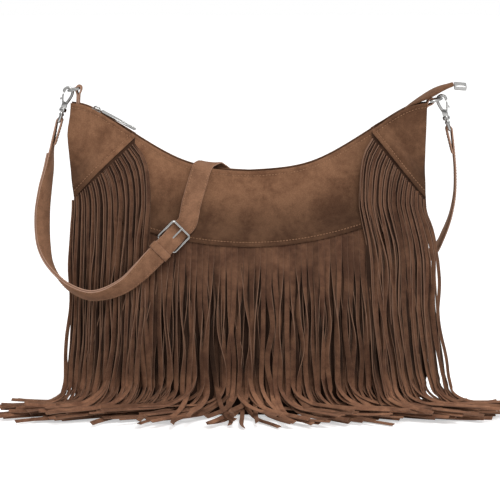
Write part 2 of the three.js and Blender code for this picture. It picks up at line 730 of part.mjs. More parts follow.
// From the right eye, behind the bag, over its top and down to the buckle
function overKeys() {
  const bar = eyeBar(ENDS[1]);
  return [
    [vec(bar.x + STRAP_FOLD, 0, bar.z), vec(0, 1, 0)],
    [vec(214, 2, 266), vec(0, 1, 0)],
    [vec(215.8, 6, 246), vec(0, 1, 0)],
    [vec(215.8, 11, 222), vec(0, 0.99, 0.1)],
    [vec(212, 18, 198), vec(0, 0.97, 0.2)],
    [vec(206, 26, 179), vec(0, 0.93, 0.35)],
    [vec(198, 35, 161), vec(0.05, 0.85, 0.5)],
    [vec(183, 42, 149), vec(0.15, 0.6, 0.78)],
    [vec(160, 46, 148), vec(0.25, 0.25, 0.93)],
    [vec(130, 48, 156), vec(0.3, 0.05, 0.95)],
    [vec(95, 48, 171), vec(0.36, 0, 0.93)],
    [vec(58, 45.5, 190), vec(0.42, 0, 0.9)],
    [vec(20, 38, 210), vec(0.5, 0, 0.86)],
    [vec(-8, 30, 227), vec(0.65, 0, 0.75)],
    [vec(-24, 22, 240), vec(0.85, 0, 0.45)],
    [vec(-33, 15.5, 249.6), vec(0.97, 0, 0.05)],
    [vec(-39, 7, 256.3), vec(0.98, 0, -0.1)],
    [vec(-45.5, -5, 256.9), vec(0.985, 0, -0.16)],
    [vec(-49, -15.5, 253.6), vec(0.96, 0, -0.2)],
    [vec(-54, -27, 238), vec(0.91, 0, -0.4)],
    [vec(-59.5, -34.5, 219), vec(0.88, 0, -0.45)],
    [atBuckle(HALF_FRAME + 8, -STRAP_FOLD), vec(0.78, 0, -0.6)],
    [atBuckle(HALF_FRAME, -STRAP_FOLD), BUCKLE_ACROSS],
    [atBuckle(5, -STRAP_FOLD), BUCKLE_ACROSS],
    [atBuckle(0.5, 0.6), BUCKLE_ACROSS],
    [atBuckle(-5, STRAP_FOLD + STRAP_LAYER - 0.4), BUCKLE_ACROSS],
  ];
}

const PRONG = 1.1;
const PRONG_SLOT = 12;

function buckleBox(along, across, out, atAlong, atOut) {
  const box = new THREE.BoxGeometry(along, across, out);
  return placed(box, atBuckle(atAlong, atOut), BUCKLE_ALONG, BUCKLE_ACROSS.clone().negate(), BUCKLE_OUT);
}

function stubFrames(fold, away, length) {
  return [0.5, 1].map((share) => ({ ...fold, at: fold.at.clone().addScaledVector(away, share * length) }));
}

function buildStrap() {
  const loop = routeFrames(loopKeys(), 40, 1);
  const [left, right] = ENDS;
  const leftDown = hookFrame(left).up.negate();
  const leftFold = foldFrames(eyeBar(left), DEPTH, vec(1, 0, 0), vec(0, 0, 1));
  const heelFold = foldFrames(atBuckle(-HALF_FRAME, 0), BUCKLE_ACROSS, BUCKLE_OUT, BUCKLE_ALONG);
  const short = [
    ...stubFrames(leftFold[0], leftDown, FOLD_STUB).reverse(), ...leftFold.slice(0, -1), ...loop,
    ...heelFold.slice(1), ...stubFrames(heelFold.at(-1), BUCKLE_ALONG.clone().negate(), HEEL_STUB),
  ];
  const heelSlot = buckleBox(8, 2 * PRONG + 2, 12, -HALF_FRAME + 0.8, 0);
  addPart('strap_short', cut(sweep(short, STRAP_SECTION, false), heelSlot), STRAP_SUEDE);

  const over = routeFrames(overKeys(), 76, -1);
  const outer = loop.slice(TIP_BACK).reverse().map(({ at, side, lift }) => (
    { at: at.clone().addScaledVector(lift, STRAP_LAYER), side, lift }));
  const rightDown = hookFrame(right).up.negate();
  const rightFold = foldFrames(eyeBar(right), DEPTH, vec(-1, 0, 0), vec(0, 0, 1));
  const long = [
    ...stubFrames(rightFold[0], rightDown, FOLD_STUB).reverse(), ...rightFold.slice(0, -1), ...over, ...outer,
  ];
  const prongSlot = buckleBox(PRONG_SLOT, 2 * PRONG + 1, 12, 0, 1);
  addPart('strap_long', cut(sweep(long, STRAP_SECTION, false), prongSlot), STRAP_SUEDE);
}

function buildBuckle() {
  const half = BUCKLE_WIDE / 2 - BUCKLE_WIRE;
  const corner = 1.2;
  const at = (along, across) => atBuckle(along, 0).addScaledVector(BUCKLE_ACROSS, across);
  const path = [
    at(-HALF_FRAME, -half + corner), at(-HALF_FRAME, half - corner), at(-HALF_FRAME + corner, half),
    at(HALF_FRAME - corner, half), at(HALF_FRAME, half - corner), at(HALF_FRAME, -half + corner),
    at(HALF_FRAME - corner, -half), at(-HALF_FRAME + corner, -half),
  ];
  const round = roundSection(BUCKLE_WIRE, 8);
  addPart('buckle_frame', sweep(planeFrames(path, BUCKLE_OUT, true), round, true), NICKEL);

  // The prong lies on the far bar; its eye goes round the heel bar
  const wire = [
    atBuckle(-HALF_FRAME + 2.2, 0.9), atBuckle(2, WIRE + PRONG),
    atBuckle(HALF_FRAME + 1.6, WIRE + PRONG + GAP),
  ];
  const arm = sweep(planeFrames(wire, BUCKLE_ACROSS, false), roundSection(PRONG, 8), false);
  const eye = Array.from({ length: 10 }, (_, i) => {
    const turn = i * 2 * Math.PI / 10;
    const reach = WIRE + GAP + 0.6;
    return atBuckle(-HALF_FRAME + reach * Math.cos(turn), reach * Math.sin(turn));
  });
  const ring = sweep(planeFrames(eye, BUCKLE_ACROSS, true), flatSection(2, 1), true);
  addPart('buckle_prong', joined([arm, ring]), NICKEL);

}

// The keeper: a leather ring round all the strap's layers, behind the buckle
const KEEPER_AT = -HALF_FRAME - 9;
const KEEPER_WIDE = 8;
const KEEPER_THICK = 1.2;

function buildKeeper() {
  const wall = KEEPER_THICK / 2;
  const reach = STRAP_WIDE / 2 + GAP + wall;
  const low = -STRAP_FOLD - STRAP_THICK / 2 - GAP - wall;
  const high = STRAP_FOLD + STRAP_LAYER + STRAP_THICK / 2 + 2 * GAP + wall;
  const ringAt = (across, out) => atBuckle(KEEPER_AT, out).addScaledVector(BUCKLE_ACROSS, across);
  const corner = 0.6;
  const keeper = [
    ringAt(-reach, low + corner), ringAt(-reach, high - corner), ringAt(-reach + corner, high),
    ringAt(reach - corner, high), ringAt(reach, high - corner), ringAt(reach, low + corner),
    ringAt(reach - corner, low), ringAt(-reach + corner, low),
  ];
  const section = flatSection(KEEPER_WIDE, KEEPER_THICK);
  addPart('strap_keeper', sweep(planeFrames(keeper, BUCKLE_ALONG, true), section, true), STRAP_SUEDE);
}

// Fringe: a band sewn under a seam, cut into strands that hang, bend at the floor and lie spread out
function strandFrames({ xAt, rootZ, standOff, heading, level, tail, turnFrom, wide }) {
  const frames = [];
  let reach = 0;
  const rest = level + LEATHER / 2;
  const bendTop = rest + FLOOR_BEND;
  const stops = [1, 0.9, 0.75, 0.55, 0.32, 0.14, 0];
  const depthAt = (z) => {
    for (const edge of [-wide / 2, 0, wide / 2]) {
      const x = clamp(xAt(z) + edge, -HALF_WIDTH, HALF_WIDTH);
      reach = Math.max(reach, halfDepth(x, Math.max(z, bottomAt(x))) + standOff(z));
    }
    return -reach;
  };
  let last;
  for (const share of stops) {
    const z = lerp(bendTop, rootZ, share);
    const turn = heading * (1 - smooth(z, bendTop, turnFrom));
    const lift = vec(Math.sin(turn), -Math.cos(turn), 0);
    last = vec(xAt(z), depthAt(z), z);
    frames.push({ at: last, side: vec(Math.cos(turn), Math.sin(turn), 0), lift });
  }
  const out = vec(Math.sin(heading), -Math.cos(heading), 0);
  const side = vec(Math.cos(heading), Math.sin(heading), 0);
  const middle = last.clone().addScaledVector(out, FLOOR_BEND);
  for (const share of [1 / 3, 2 / 3, 1]) {
    const bend = share * Math.PI / 2;
    const lift = out.clone().multiplyScalar(Math.cos(bend)).addScaledVector(UP, Math.sin(bend));
    frames.push({ at: middle.clone().addScaledVector(lift, -FLOOR_BEND), side, lift });
  }
  frames.push({ at: middle.clone().addScaledVector(UP, -FLOOR_BEND).addScaledVector(out, tail), side, lift: UP });
  return frames;
}

function strand(frames, wide) {
  return sweep(frames, flatSection(wide, LEATHER), false);
}

const TWIST_FROM = 120;

function buildFrontFringe() {
  const lowAt = (x) => seamAt(x) - BAND;
  const highAt = (x) => seamAt(x) + SEAM_ALLOWANCE;
  const pieces = [bodySheet({
    across: 24, along: 1, xAt: (u) => lerp(-FRONT_REACH - 4, FRONT_REACH + 4, u), lowAt, highAt,
    step: () => LAYER, side: -1,
  })];
  for (let i = 0; i < FRONT_STRANDS; i += 1) {
    const share = i / (FRONT_STRANDS - 1);
    const x0 = lerp(-FRONT_REACH, FRONT_REACH, share);
    const heading = 1.05 * clamp((x0 + 14 * Math.sin(i * 2.4)) / 120, -1, 1);
    pieces.push(strand(strandFrames({
      xAt: (z) => x0 * (1 + FRONT_SPREAD * (1 - z / seamAt(x0))),
      rootZ: seamAt(x0) - BAND + 3,
      standOff: (z) => LAYER - LEATHER / 2 + FRONT_WIDTH / 2 * Math.abs(Math.sin(heading))
        * (1 - smooth(z, FLOOR_BEND, TWIST_FROM)),
      heading,
      level: (i % 2) * LAYER,
      tail: FRONT_TAIL + 8 * Math.sin(i * 1.7),
      turnFrom: TWIST_FROM,
      wide: FRONT_WIDTH,
    }), FRONT_WIDTH));
  }
  addPart('fringe_front', joined(pieces), SUEDE);
}

// The side strands arch outwards under the ear and drift towards the end they hang from
const SIDE_SHAPES = {
  left: { sign: -1, arch: [0.2, 1.3], drift: [10, 2] },
  right: { sign: 1, arch: [0.3, 0.8], drift: [24, 16] },
};

function buildSideFringe(end) {
  const { sign, arch, drift } = SIDE_SHAPES[end];
  const allowance = SEAM_ALLOWANCE - 1;
  const pieces = [bodySheet({
    across: EAR_COLUMNS, along: 3, xAt: (u) => sign * lerp(EAR_START + EAR_TIP, HALF_WIDTH, u), side: -1,
    lowAt: (x) => earSeamAt(x) - BAND * 0.7,
    highAt: (x) => Math.min(earSeamAt(x) + allowance, topAt(x) - 1),
    step: (x, z) => yokeStep(x, z) + LAYER,
    set: [BAND * 0.7, BAND * 0.7 + allowance / 2],
  })];
  for (let i = 0; i < SIDE_STRANDS; i += 1) {
    const share = i / (SIDE_STRANDS - 1);
    const x0 = lerp(HALF_WIDTH - 4, EAR_START + 5, share);
    const rootZ = earSeamAt(x0) - BAND * 0.4;
    const swing = SIDE_ARCH * lerp(arch[0], arch[1], share);
    const sway = lerp(drift[0], drift[1], share);
    const bow = (z) => swing * (1 - Math.exp((z - rootZ) / ARCH_HEIGHT));
    const fromEdge = (z) => sway * (1 - z / rootZ) ** 1.5 - bow(z);
    const base = (z) => (z < rootZ - 1 ? 2 * LAYER + GAP : yokeStep(x0 + SIDE_WIDTH, z));
    const twist = (z) => 1 - smooth(z, FLOOR_BEND, TWIST_FROM + 20);
    pieces.push(strand(strandFrames({
      xAt: (z) => sign * (x0 + fromEdge(z)),
      rootZ,
      standOff: (z) => base(z) + LAYER - LEATHER / 2 + (FRONT_WIDTH + SIDE_WIDTH / 2) * twist(z),
      heading: sign * lerp(1.35, 1.1, share),
      level: SIDE_LIFT + (i % 2) * LAYER,
      tail: SIDE_TAIL + 7 * Math.sin(i * 1.9),
      turnFrom: TWIST_FROM,
      wide: SIDE_WIDTH,
    }), SIDE_WIDTH));
  }
  addPart(`fringe_${end}`, joined(pieces), SUEDE);
}

buildBody();
buildWalls();
buildLining();
buildZip();
buildSlider();
buildZipTail();
for (const end of ENDS) {
  buildRing(end);
  buildTab(end);
  buildHook(end);
}
buildStrap();
buildBuckle();
buildKeeper();
buildFrontFringe();
buildSideFringe('left');
buildSideFringe('right');

export default bag;
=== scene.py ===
import math

import bmesh
import bpy
import numpy as np
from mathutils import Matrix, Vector


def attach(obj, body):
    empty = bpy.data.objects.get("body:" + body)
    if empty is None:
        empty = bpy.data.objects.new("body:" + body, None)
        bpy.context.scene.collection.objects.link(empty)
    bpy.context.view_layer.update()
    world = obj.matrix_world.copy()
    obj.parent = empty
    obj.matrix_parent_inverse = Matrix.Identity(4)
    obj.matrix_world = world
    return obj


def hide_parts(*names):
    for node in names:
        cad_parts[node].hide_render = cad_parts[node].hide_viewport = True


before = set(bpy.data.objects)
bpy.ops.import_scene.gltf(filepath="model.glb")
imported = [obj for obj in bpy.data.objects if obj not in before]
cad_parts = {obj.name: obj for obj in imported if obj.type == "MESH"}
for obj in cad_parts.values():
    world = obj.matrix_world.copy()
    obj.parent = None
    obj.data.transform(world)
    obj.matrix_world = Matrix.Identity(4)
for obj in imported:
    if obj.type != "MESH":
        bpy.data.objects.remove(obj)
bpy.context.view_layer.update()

MM = 0.001

# Driving sizes of the bag in millimetres, the same as in the solids
HALF_WIDTH = 186
DIP_HEIGHT = 249.5
TOP_SLOPE = 0.72
SLOPE_START = 66
SLOPE_END = 170
DIP_ROUND = 36
EAR_ROUND = 16
CORNER_RADIUS = 46
TOP_HALF_DEPTH = 10
BASE_HALF_DEPTH = 40
BELLY = 26
BELLY_HEIGHT = 0.42
SEAM_HEIGHT = 174
SEAM_RISE = 49
LEFT_EAR_START = 117
RIGHT_EAR_START = 126
LEATHER = 1.2
GAP = 0.3
LAYER = LEATHER + 2 * GAP
WALL_GAP = 0.8
SEAM_ALLOWANCE = 8
LINING = 0.8
MOUTH_DROP = 6
RIM_INSET = 3
GUSSET_DROP = 12
BAND = 14
TAPE = 0.8
TAPE_DROP = 2.5
TAPE_END = HALF_WIDTH - 14
TEETH_HALF = 1.5
TEETH_FROM = 34 - HALF_WIDTH
TEETH_TO = HALF_WIDTH - 25
STRAP_WIDE = 20
STRAP_THICK = 1.6
WIRE = 1.5
RING_WIDE = 22
RING_DEEP = 11
HOOK_BORE = 3
HOOK_WIRE = 1.5
EYE_DROP = 21.6
EYE_TALL = 10
BUCKLE_LONG = 26
BUCKLE_WIRE = 1.3
BUCKLE_WIDE = 26.4
STRAP_FOLD = WIRE + GAP + STRAP_THICK / 2
STRAP_LAYER = STRAP_THICK + GAP
FOLD_STUB = 26
STITCH_INSET = 4.8

chance = np.random.default_rng(41)


def vec(x, y, z):
    return np.array([x, y, z], float)


DEPTH = vec(0, 1, 0)


def unit(v):
    return v / np.linalg.norm(v, axis=-1, keepdims=True)


def mix(a, b, share):
    return a + (b - a) * share


def smooth(value, low, high):
    share = np.clip((value - low) / (high - low), 0, 1)
    return share * share * (3 - 2 * share)


# Camera

CAMERA_RISE = math.radians(8)
CAMERA_AWAY = 2.6
CAMERA_AIM = Vector((0.001, 0, 0.1654))
SEEN_WIDTH = 0.525
SENSOR_WIDTH = 36


def build_camera():
    back = Vector((0, -math.cos(CAMERA_RISE), math.sin(CAMERA_RISE)))
    data = bpy.data.cameras.new("camera")
    data.sensor_width = SENSOR_WIDTH
    data.lens = SENSOR_WIDTH * CAMERA_AWAY / SEEN_WIDTH
    camera = bpy.data.objects.new("camera", data)
    camera.location = CAMERA_AIM + back * CAMERA_AWAY
    camera.rotation_euler = back.to_track_quat("Z", "Y").to_euler()
    bpy.context.scene.collection.objects.link(camera)
    bpy.context.scene.camera = camera


build_camera()


# Outline of the bag


def hinge(u, radius):
    return (u + np.hypot(u, radius)) / 2


def rise(x):
    side = np.abs(x)
    return TOP_SLOPE * (hinge(side - SLOPE_START, DIP_ROUND) - hinge(side - SLOPE_END, EAR_ROUND))


def top_at(x):
    return DIP_HEIGHT + rise(x) - rise(0.0)


def bottom_at(x):
    past = np.maximum(0, np.abs(x) - (HALF_WIDTH - CORNER_RADIUS))
    return CORNER_RADIUS - np.sqrt(np.maximum(0, CORNER_RADIUS**2 - past**2))


def seam_at(x):
    return SEAM_HEIGHT + SEAM_RISE * (x / HALF_WIDTH) ** 2


def ear_start(x):
    return np.where(np.asarray(x) < 0, LEFT_EAR_START, RIGHT_EAR_START)


def ear_seam_at(x):
    start = ear_start(x)
    drop = (top_at(start) - seam_at(HALF_WIDTH)) / (HALF_WIDTH - start)
    return top_at(start) - (np.abs(x) - start) * drop


def half_depth(x, z):
    low = bottom_at(x)
    share = np.clip((z - low) / (top_at(x) - low), 0, 1)
    edge = TOP_HALF_DEPTH + (BASE_HALF_DEPTH - TOP_HALF_DEPTH) * (1 - share) ** 1.2
    swell = np.maximum(0, 1 - ((share - BELLY_HEIGHT) / (1 - BELLY_HEIGHT)) ** 2)
    return edge + BELLY * swell * (1 - np.abs(np.clip(x / HALF_WIDTH, -1, 1)) ** 3)


STEP_FULL = SEAM_ALLOWANCE + 1
STEP_GONE = 21


def yoke_step(x, z):
    side = np.clip((np.abs(x) - 0.75 * HALF_WIDTH) / (0.1 * HALF_WIDTH), 0, 1)
    return 2 * LAYER * np.maximum(1 - smooth(z - seam_at(x), STEP_FULL, STEP_GONE), side)


def ear_step(x, z):
    past = (z - ear_seam_at(x)) / math.sqrt(2)
    return (yoke_step(x, z) + 2 * LAYER) * (1 - smooth(past, STEP_FULL, STEP_GONE))


def no_step(x, z):
    return 0 * x


# How far each side of the slack bag leans out of its straight line, by height
LEFT_LEAN = (
    [150, 205, 222, 245, 265, 279, 288, 295, 307, 318],
    [0, -3.4, -4.8, -1.4, 0.8, 2.2, 2.8, 2.2, 0.2, -0.8],
)
RIGHT_LEAN = ([190, 228, 255, 277, 295, 318], [0, -2.9, -3.2, -2.6, -1.8, -1])
LEAN_FROM = 128


def slumped(solid):
    points, faces = solid
    x, z = points[..., 0], points[..., 2]
    lean = np.where(x < 0, np.interp(z, *LEFT_LEAN), np.interp(z, *RIGHT_LEAN))
    points = points.copy()
    points[..., 0] = x + np.sign(x) * lean * smooth(np.abs(x), LEAN_FROM, HALF_WIDTH)
    return points, faces


WAVE_COUNT = 9
WAVE_EVEN = 3.2
WAVE_TURN = 6.28
WAVES = [
    (chance.normal(0, 1 / 34), chance.normal(0, 1 / 26), chance.uniform(0, WAVE_TURN))
    for _ in range(WAVE_COUNT)
]


def soft_dents(x, z):
    """Slow dents and swells of slack suede, about a millimetre deep."""
    return sum(np.sin(a * x + b * z + c) for a, b, c in WAVES) / WAVE_EVEN


# Meshes: points in millimetres, faces as index tuples


def closed_sheet(outer, inner):
    """A wall between two grids of points that meet along their rims."""
    columns, rows = outer.shape[:2]
    index = np.arange(columns * rows).reshape(columns, rows)
    back = index.copy()
    inside = np.arange((columns - 2) * (rows - 2)).reshape(columns - 2, rows - 2)
    back[1:-1, 1:-1] = columns * rows + inside
    points = np.concatenate([outer.reshape(-1, 3), inner[1:-1, 1:-1].reshape(-1, 3)])

    def quads(grid):
        corners = [grid[:-1, :-1], grid[1:, :-1], grid[1:, 1:], grid[:-1, 1:]]
        return np.stack(corners, -1).reshape(-1, 4)

    return points, np.concatenate([quads(index), quads(back)[:, ::-1]]).tolist()


def ring_faces(count, sides, closed=False):
    """Faces between rings of points; an open row of rings is shut by two flat ends."""
    faces = []
    for i in range(count if closed else count - 1):
        a = i * sides
        b = (i + 1) % count * sides
        faces += [(a + k, a + (k + 1) % sides, b + (k + 1) % sides, b + k) for k in range(sides)]
    if not closed:
        faces += [tuple(range(sides))[::-1], tuple(range((count - 1) * sides, count * sides))]
    return faces


def tube(path, radii, sides=14, closed=False, normal=None, flat=1.0):
    """A round wire along a path; flat squeezes it along the given normal."""
    path = np.asarray(path, float)
    count = len(path)
    radii = np.broadcast_to(np.asarray(radii, float), (count,))
    ahead = np.roll(path, -1, 0) - np.roll(path, 1, 0)
    if not closed:
        ahead[0], ahead[-1] = path[1] - path[0], path[-1] - path[-2]
    ahead = unit(ahead)
    if normal is None:
        normal = vec(0, 1, 0) if abs(ahead[0][1]) < 0.8 else vec(1, 0, 0)
    points = []
    for at, along, radius in zip(path, ahead, radii):
        up = unit(normal - along * np.dot(normal, along))
        side = np.cross(along, up)
        normal = up
        for turn in np.arange(sides) * 2 * math.pi / sides:
            points.append(at + radius * (math.cos(turn) * side + flat * math.sin(turn) * up))
    return np.array(points), ring_faces(count, sides, closed)


def round_ended(path, radius, steps=4):
    """Points and radii of a wire whose two ends are domed."""
    path = np.asarray(path, float)
    turns = np.linspace(math.pi / 2, 0.15, steps)
    start = [path[0] + unit(path[0] - path[1]) * radius * (math.sin(t) - 1) for t in turns]
    end = [path[-1] + unit(path[-1] - path[-2]) * radius * (math.sin(t) - 1) for t in turns[::-1]]
    domes = [radius * max(0.1, math.cos(t)) for t in turns]
    radii = [*domes, *[radius] * (len(path) - 2), *domes[::-1]]
    return np.array([*start, *path[1:-1], *end]), radii


def lathe(profile, sides=20):
    """A closed turning round Z from (radius, height) pairs; its ends are flat discs."""
    points = [
        (r * math.cos(t), r * math.sin(t), z)
        for r, z in profile
        for t in np.arange(sides) * 2 * math.pi / sides
    ]
    return np.array(points), ring_faces(len(profile), sides)


def soft_box(size, centre, edge, segments=3):
    """A block with rounded edges."""
    bm = bmesh.new()
    bmesh.ops.create_cube(bm, size=1)
    bmesh.ops.scale(bm, vec=size, verts=bm.verts)
    geom = bm.edges[:] + bm.verts[:]
    bmesh.ops.bevel(bm, geom=geom, offset=edge, segments=segments, profile=0.5, affect="EDGES")
    bm.verts.ensure_lookup_table()
    points = np.array([v.co for v in bm.verts]) + np.array(centre, float)
    faces = [tuple(v.index for v in f.verts) for f in bm.faces]
    bm.free()
    return points, faces


def placed(solid, origin, x_axis, y_axis, z_axis):
    points, faces = solid
    return origin + points @ np.array([x_axis, y_axis, z_axis]), faces


def merged(*solids):
    points, faces, count = [], [], 0
    for solid_points, solid_faces in solids:
        points.append(solid_points)
        faces += [tuple(i + count for i in face) for face in solid_faces]
        count += len(solid_points)
    return np.concatenate(points), faces


def outward(solid):
    """The same solid with its faces turned outwards."""
    points, faces = solid
    volume = 0
    for face in faces:
        corner = points[face[0]]
        for i in range(1, len(face) - 1):
            volume += np.dot(corner, np.cross(points[face[i]], points[face[i + 1]]))
    return (points, [tuple(face)[::-1] for face in faces]) if volume < 0 else (points, faces)


def smoothed(mesh, sharp):
    mesh.shade_smooth()
    mesh.set_sharp_from_angle(angle=math.radians(sharp))
    return mesh


def mesh_of(name, *solids):
    points, faces = merged(*[outward(solid) for solid in solids])
    mesh = bpy.data.meshes.new(name)
    mesh.from_pydata((points * MM).tolist(), [], faces)
    mesh.validate()
    return smoothed(mesh, 40)


def add_piece(name, mesh, material, body="root", nodes=()):
    """Puts a finished mesh in the scene on its body, in place of its solids."""
    if material is not None:
        mesh.materials.clear()
        mesh.materials.append(material)
    piece = bpy.data.objects.new(name, mesh)
    bpy.context.scene.collection.objects.link(piece)
    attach(piece, body)
    if nodes:
        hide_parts(*nodes)
    return piece


# Materials


def tone(red, green, blue):
    """A colour as it looks on a screen, in linear light."""
    parts = [c / 255 for c in (red, green, blue)]
    return tuple(c / 12.92 if c < 0.04045 else ((c + 0.055) / 1.055) ** 2.4 for c in parts) + (1,)


def node(tree, kind, inputs=None, **settings):
    made = tree.nodes.new(kind)
    for key, value in settings.items():
        setattr(made, key, value)
    for key, value in (inputs or {}).items():
        if isinstance(value, bpy.types.NodeSocket):
            tree.links.new(value, made.inputs[key])
        else:
            made.inputs[key].default_value = value
    return made


def new_group(name, kind, inputs, outputs):
    """A node group with named sockets; gives it with the ends where its inputs and outputs plug in."""
    tree = bpy.data.node_groups.new(name, kind)
    for label, socket, value in inputs:
        made = tree.interface.new_socket(label, in_out="INPUT", socket_type=socket)
        if value is not None:
            made.default_value = value
    for label, socket in outputs:
        tree.interface.new_socket(label, in_out="OUTPUT", socket_type=socket)
    return tree, tree.nodes.new("NodeGroupInput").outputs, tree.nodes.new("NodeGroupOutput").inputs


def number_group(name, values, results):
    """A shader group that takes named numbers and puts out named values."""
    inputs = [(label, "NodeSocketFloat", value) for label, value in values.items()]
    outputs = [(label, "NodeSocketFloat") for label in results]
    return new_group(name, "ShaderNodeTree", inputs, outputs)


def object_place(tree):
    return node(tree, "ShaderNodeTexCoord").outputs["Object"]


def maths(tree, operation, *values):
    return node(tree, "ShaderNodeMath", dict(enumerate(values)), operation=operation).outputs[0]


def average(tree, share, first, second):
    return node(tree, "ShaderNodeMix", {0: share, 2: first, 3: second}).outputs[0]


def noise(tree, place, scale, detail, roughness=0.5, distortion=0.0):
    values = {"Vector": place, "Scale": scale, "Detail": detail}
    values |= {"Roughness": roughness, "Distortion": distortion}
    return node(tree, "ShaderNodeTexNoise", values).outputs["Fac"]


def remap(tree, value, start, end, low, high, **settings):
    """A value between start and end, spread from low to high."""
    values = {"Value": value, "From Min": start, "From Max": end, "To Min": low, "To Max": high}
    return node(tree, "ShaderNodeMapRange", values, **settings).outputs["Result"]


def eased(tree, value, start, end, low, high):
    return remap(tree, value, start, end, low, high, interpolation_type="SMOOTHSTEP")


def mixed(tree, share, first, second, blend="MIX"):
    values = {0: share, 6: first, 7: second}
    return node(tree, "ShaderNodeMix", values, data_type="RGBA", blend_type=blend).outputs[2]


def dimmed(tree, colour, value):
    return mixed(tree, 1.0, colour, value, "MULTIPLY")


def attribute(tree, name):
    return node(tree, "ShaderNodeAttribute", attribute_name=name).outputs["Fac"]


def new_material(name):
    material = bpy.data.materials.new(name)
    material.use_nodes = True
    return material, material.node_tree, material.node_tree.nodes["Principled BSDF"].inputs


def raise_relief(tree, looks, height, strength, distance):
    bump = node(tree, "ShaderNodeBump", {"Strength": strength, "Distance": distance, "Height": height})
    tree.links.new(bump.outputs["Normal"], looks["Normal"])


def build_suede_nap():
    """Brushed patches, fine nap and the relief of both."""
    sizes = {"Patch Scale": 26.0, "Nap Scale": 900.0}
    tree, given, out = number_group("suede_nap", sizes, ["Patches", "Nap", "Relief"])
    place = object_place(tree)
    broad = noise(tree, place, given["Patch Scale"], 3, 0.6, 0.5)
    finer = noise(tree, place, 170, 3, 0.6)
    nap = noise(tree, place, given["Nap Scale"], 2, 0.6)
    patches = eased(tree, average(tree, 0.3, broad, finer), 0.34, 0.66, 0.0, 1.0)
    tree.links.new(patches, out["Patches"])
    tree.links.new(nap, out["Nap"])
    tree.links.new(average(tree, 0.6, finer, nap), out["Relief"])
    return tree


def build_yoke_painted_shade():
    """Painted shade: the colour darkens low on the yoke and below it, and towards the right end."""
    tree, given, out = number_group("yoke_painted_shade", {"Low": 0.46, "Right": 0.7}, ["Share"])
    spot = node(tree, "ShaderNodeSeparateXYZ", {0: object_place(tree)}).outputs
    across = maths(tree, "MULTIPLY", spot["X"], 1 / (HALF_WIDTH * MM))
    square = maths(tree, "MULTIPLY", across, across)
    seam = maths(tree, "MULTIPLY_ADD", square, SEAM_RISE * MM, SEAM_HEIGHT * MM)
    above = maths(tree, "SUBTRACT", spot["Z"], seam)
    low = eased(tree, above, 12 * MM, 70 * MM, given["Low"], 1.0)
    right = eased(tree, spot["X"], 50 * MM, 150 * MM, 1.0, given["Right"])
    tree.links.new(maths(tree, "MULTIPLY", low, right), out["Share"])
    return tree


def build_metal_wear():
    """Fine scratches and finger marks on plated metal, as a roughness."""
    tree, given, out = number_group("metal_wear", {"Polished": 0.12, "Worn": 0.3}, ["Roughness", "Relief"])
    place = object_place(tree)
    marks = noise(tree, place, 260, 5, 0.7)
    tree.links.new(remap(tree, marks, 0.35, 0.75, given["Polished"], given["Worn"]), out["Roughness"])
    tree.links.new(noise(tree, place, 2400, 2), out["Relief"])
    return tree


SUEDE_NAP = build_suede_nap()
YOKE_PAINTED_SHADE = build_yoke_painted_shade()
METAL_WEAR = build_metal_wear()


def suede(
    name, dark, light, raw=None, patch_scale=26.0, sheen=0.25, depth=0.5, shade=False, strand_change=0.0
):
    """Brushed leather; a raw cut edge shows where the piece's raw attribute says so."""
    material, tree, looks = new_material(name)
    nap = node(tree, "ShaderNodeGroup", node_tree=SUEDE_NAP)
    nap.inputs["Patch Scale"].default_value = patch_scale
    colour = mixed(tree, nap.outputs["Patches"], dark, light)
    colour = dimmed(tree, colour, remap(tree, nap.outputs["Nap"], 0.3, 0.7, 0.84, 1.14))
    # Painted shade from the yoke group: darker low on the yoke and below it, and towards the right end
    if shade:
        colour = dimmed(tree, colour, node(tree, "ShaderNodeGroup", node_tree=YOKE_PAINTED_SHADE).outputs["Share"])
    # The strand attribute scales the colour: each strip's tone, painted shade on inner strips, painted
    # light on tails on the floor
    if strand_change:
        own = attribute(tree, "strand")
        change = remap(tree, own, 0.0, 1.0, 1 - strand_change, 1 + strand_change, clamp=False)
        colour = dimmed(tree, colour, change)
    if raw:
        colour = mixed(tree, attribute(tree, "raw"), colour, raw)
    tree.links.new(colour, looks["Base Color"])
    raise_relief(tree, looks, nap.outputs["Relief"], 0.55, depth * MM)
    looks["Roughness"].default_value = 0.93
    looks["Specular IOR Level"].default_value = 0.15
    looks["Sheen Weight"].default_value = sheen
    looks["Sheen Roughness"].default_value = 0.45
    looks["Sheen Tint"].default_value = tone(214, 178, 152)
    return material


def plated(name, colour, polished, worn):
    material, tree, looks = new_material(name)
    wear = node(tree, "ShaderNodeGroup", node_tree=METAL_WEAR)
    wear.inputs["Polished"].default_value = polished
    wear.inputs["Worn"].default_value = worn
    tree.links.new(wear.outputs["Roughness"], looks["Roughness"])
    raise_relief(tree, looks, wear.outputs["Relief"], 0.12, 0.1 * MM)
    looks["Base Color"].default_value = colour
    looks["Metallic"].default_value = 1
    return material


def woven(name, dark, light, threads):
    """Plain cloth: two crossed sets of threads."""
    material, tree, looks = new_material(name)
    values = {"Vector": object_place(tree), "Scale": threads, "Distortion": 0.4}
    warp = node(tree, "ShaderNodeTexWave", values, bands_direction="X").outputs["Fac"]
    weft = node(tree, "ShaderNodeTexWave", values, bands_direction="Z").outputs["Fac"]
    cross = maths(tree, "MULTIPLY", warp, weft)
    tree.links.new(mixed(tree, cross, dark, light), looks["Base Color"])
    raise_relief(tree, looks, cross, 0.5, 0.3 * MM)
    looks["Roughness"].default_value = 0.85
    return material
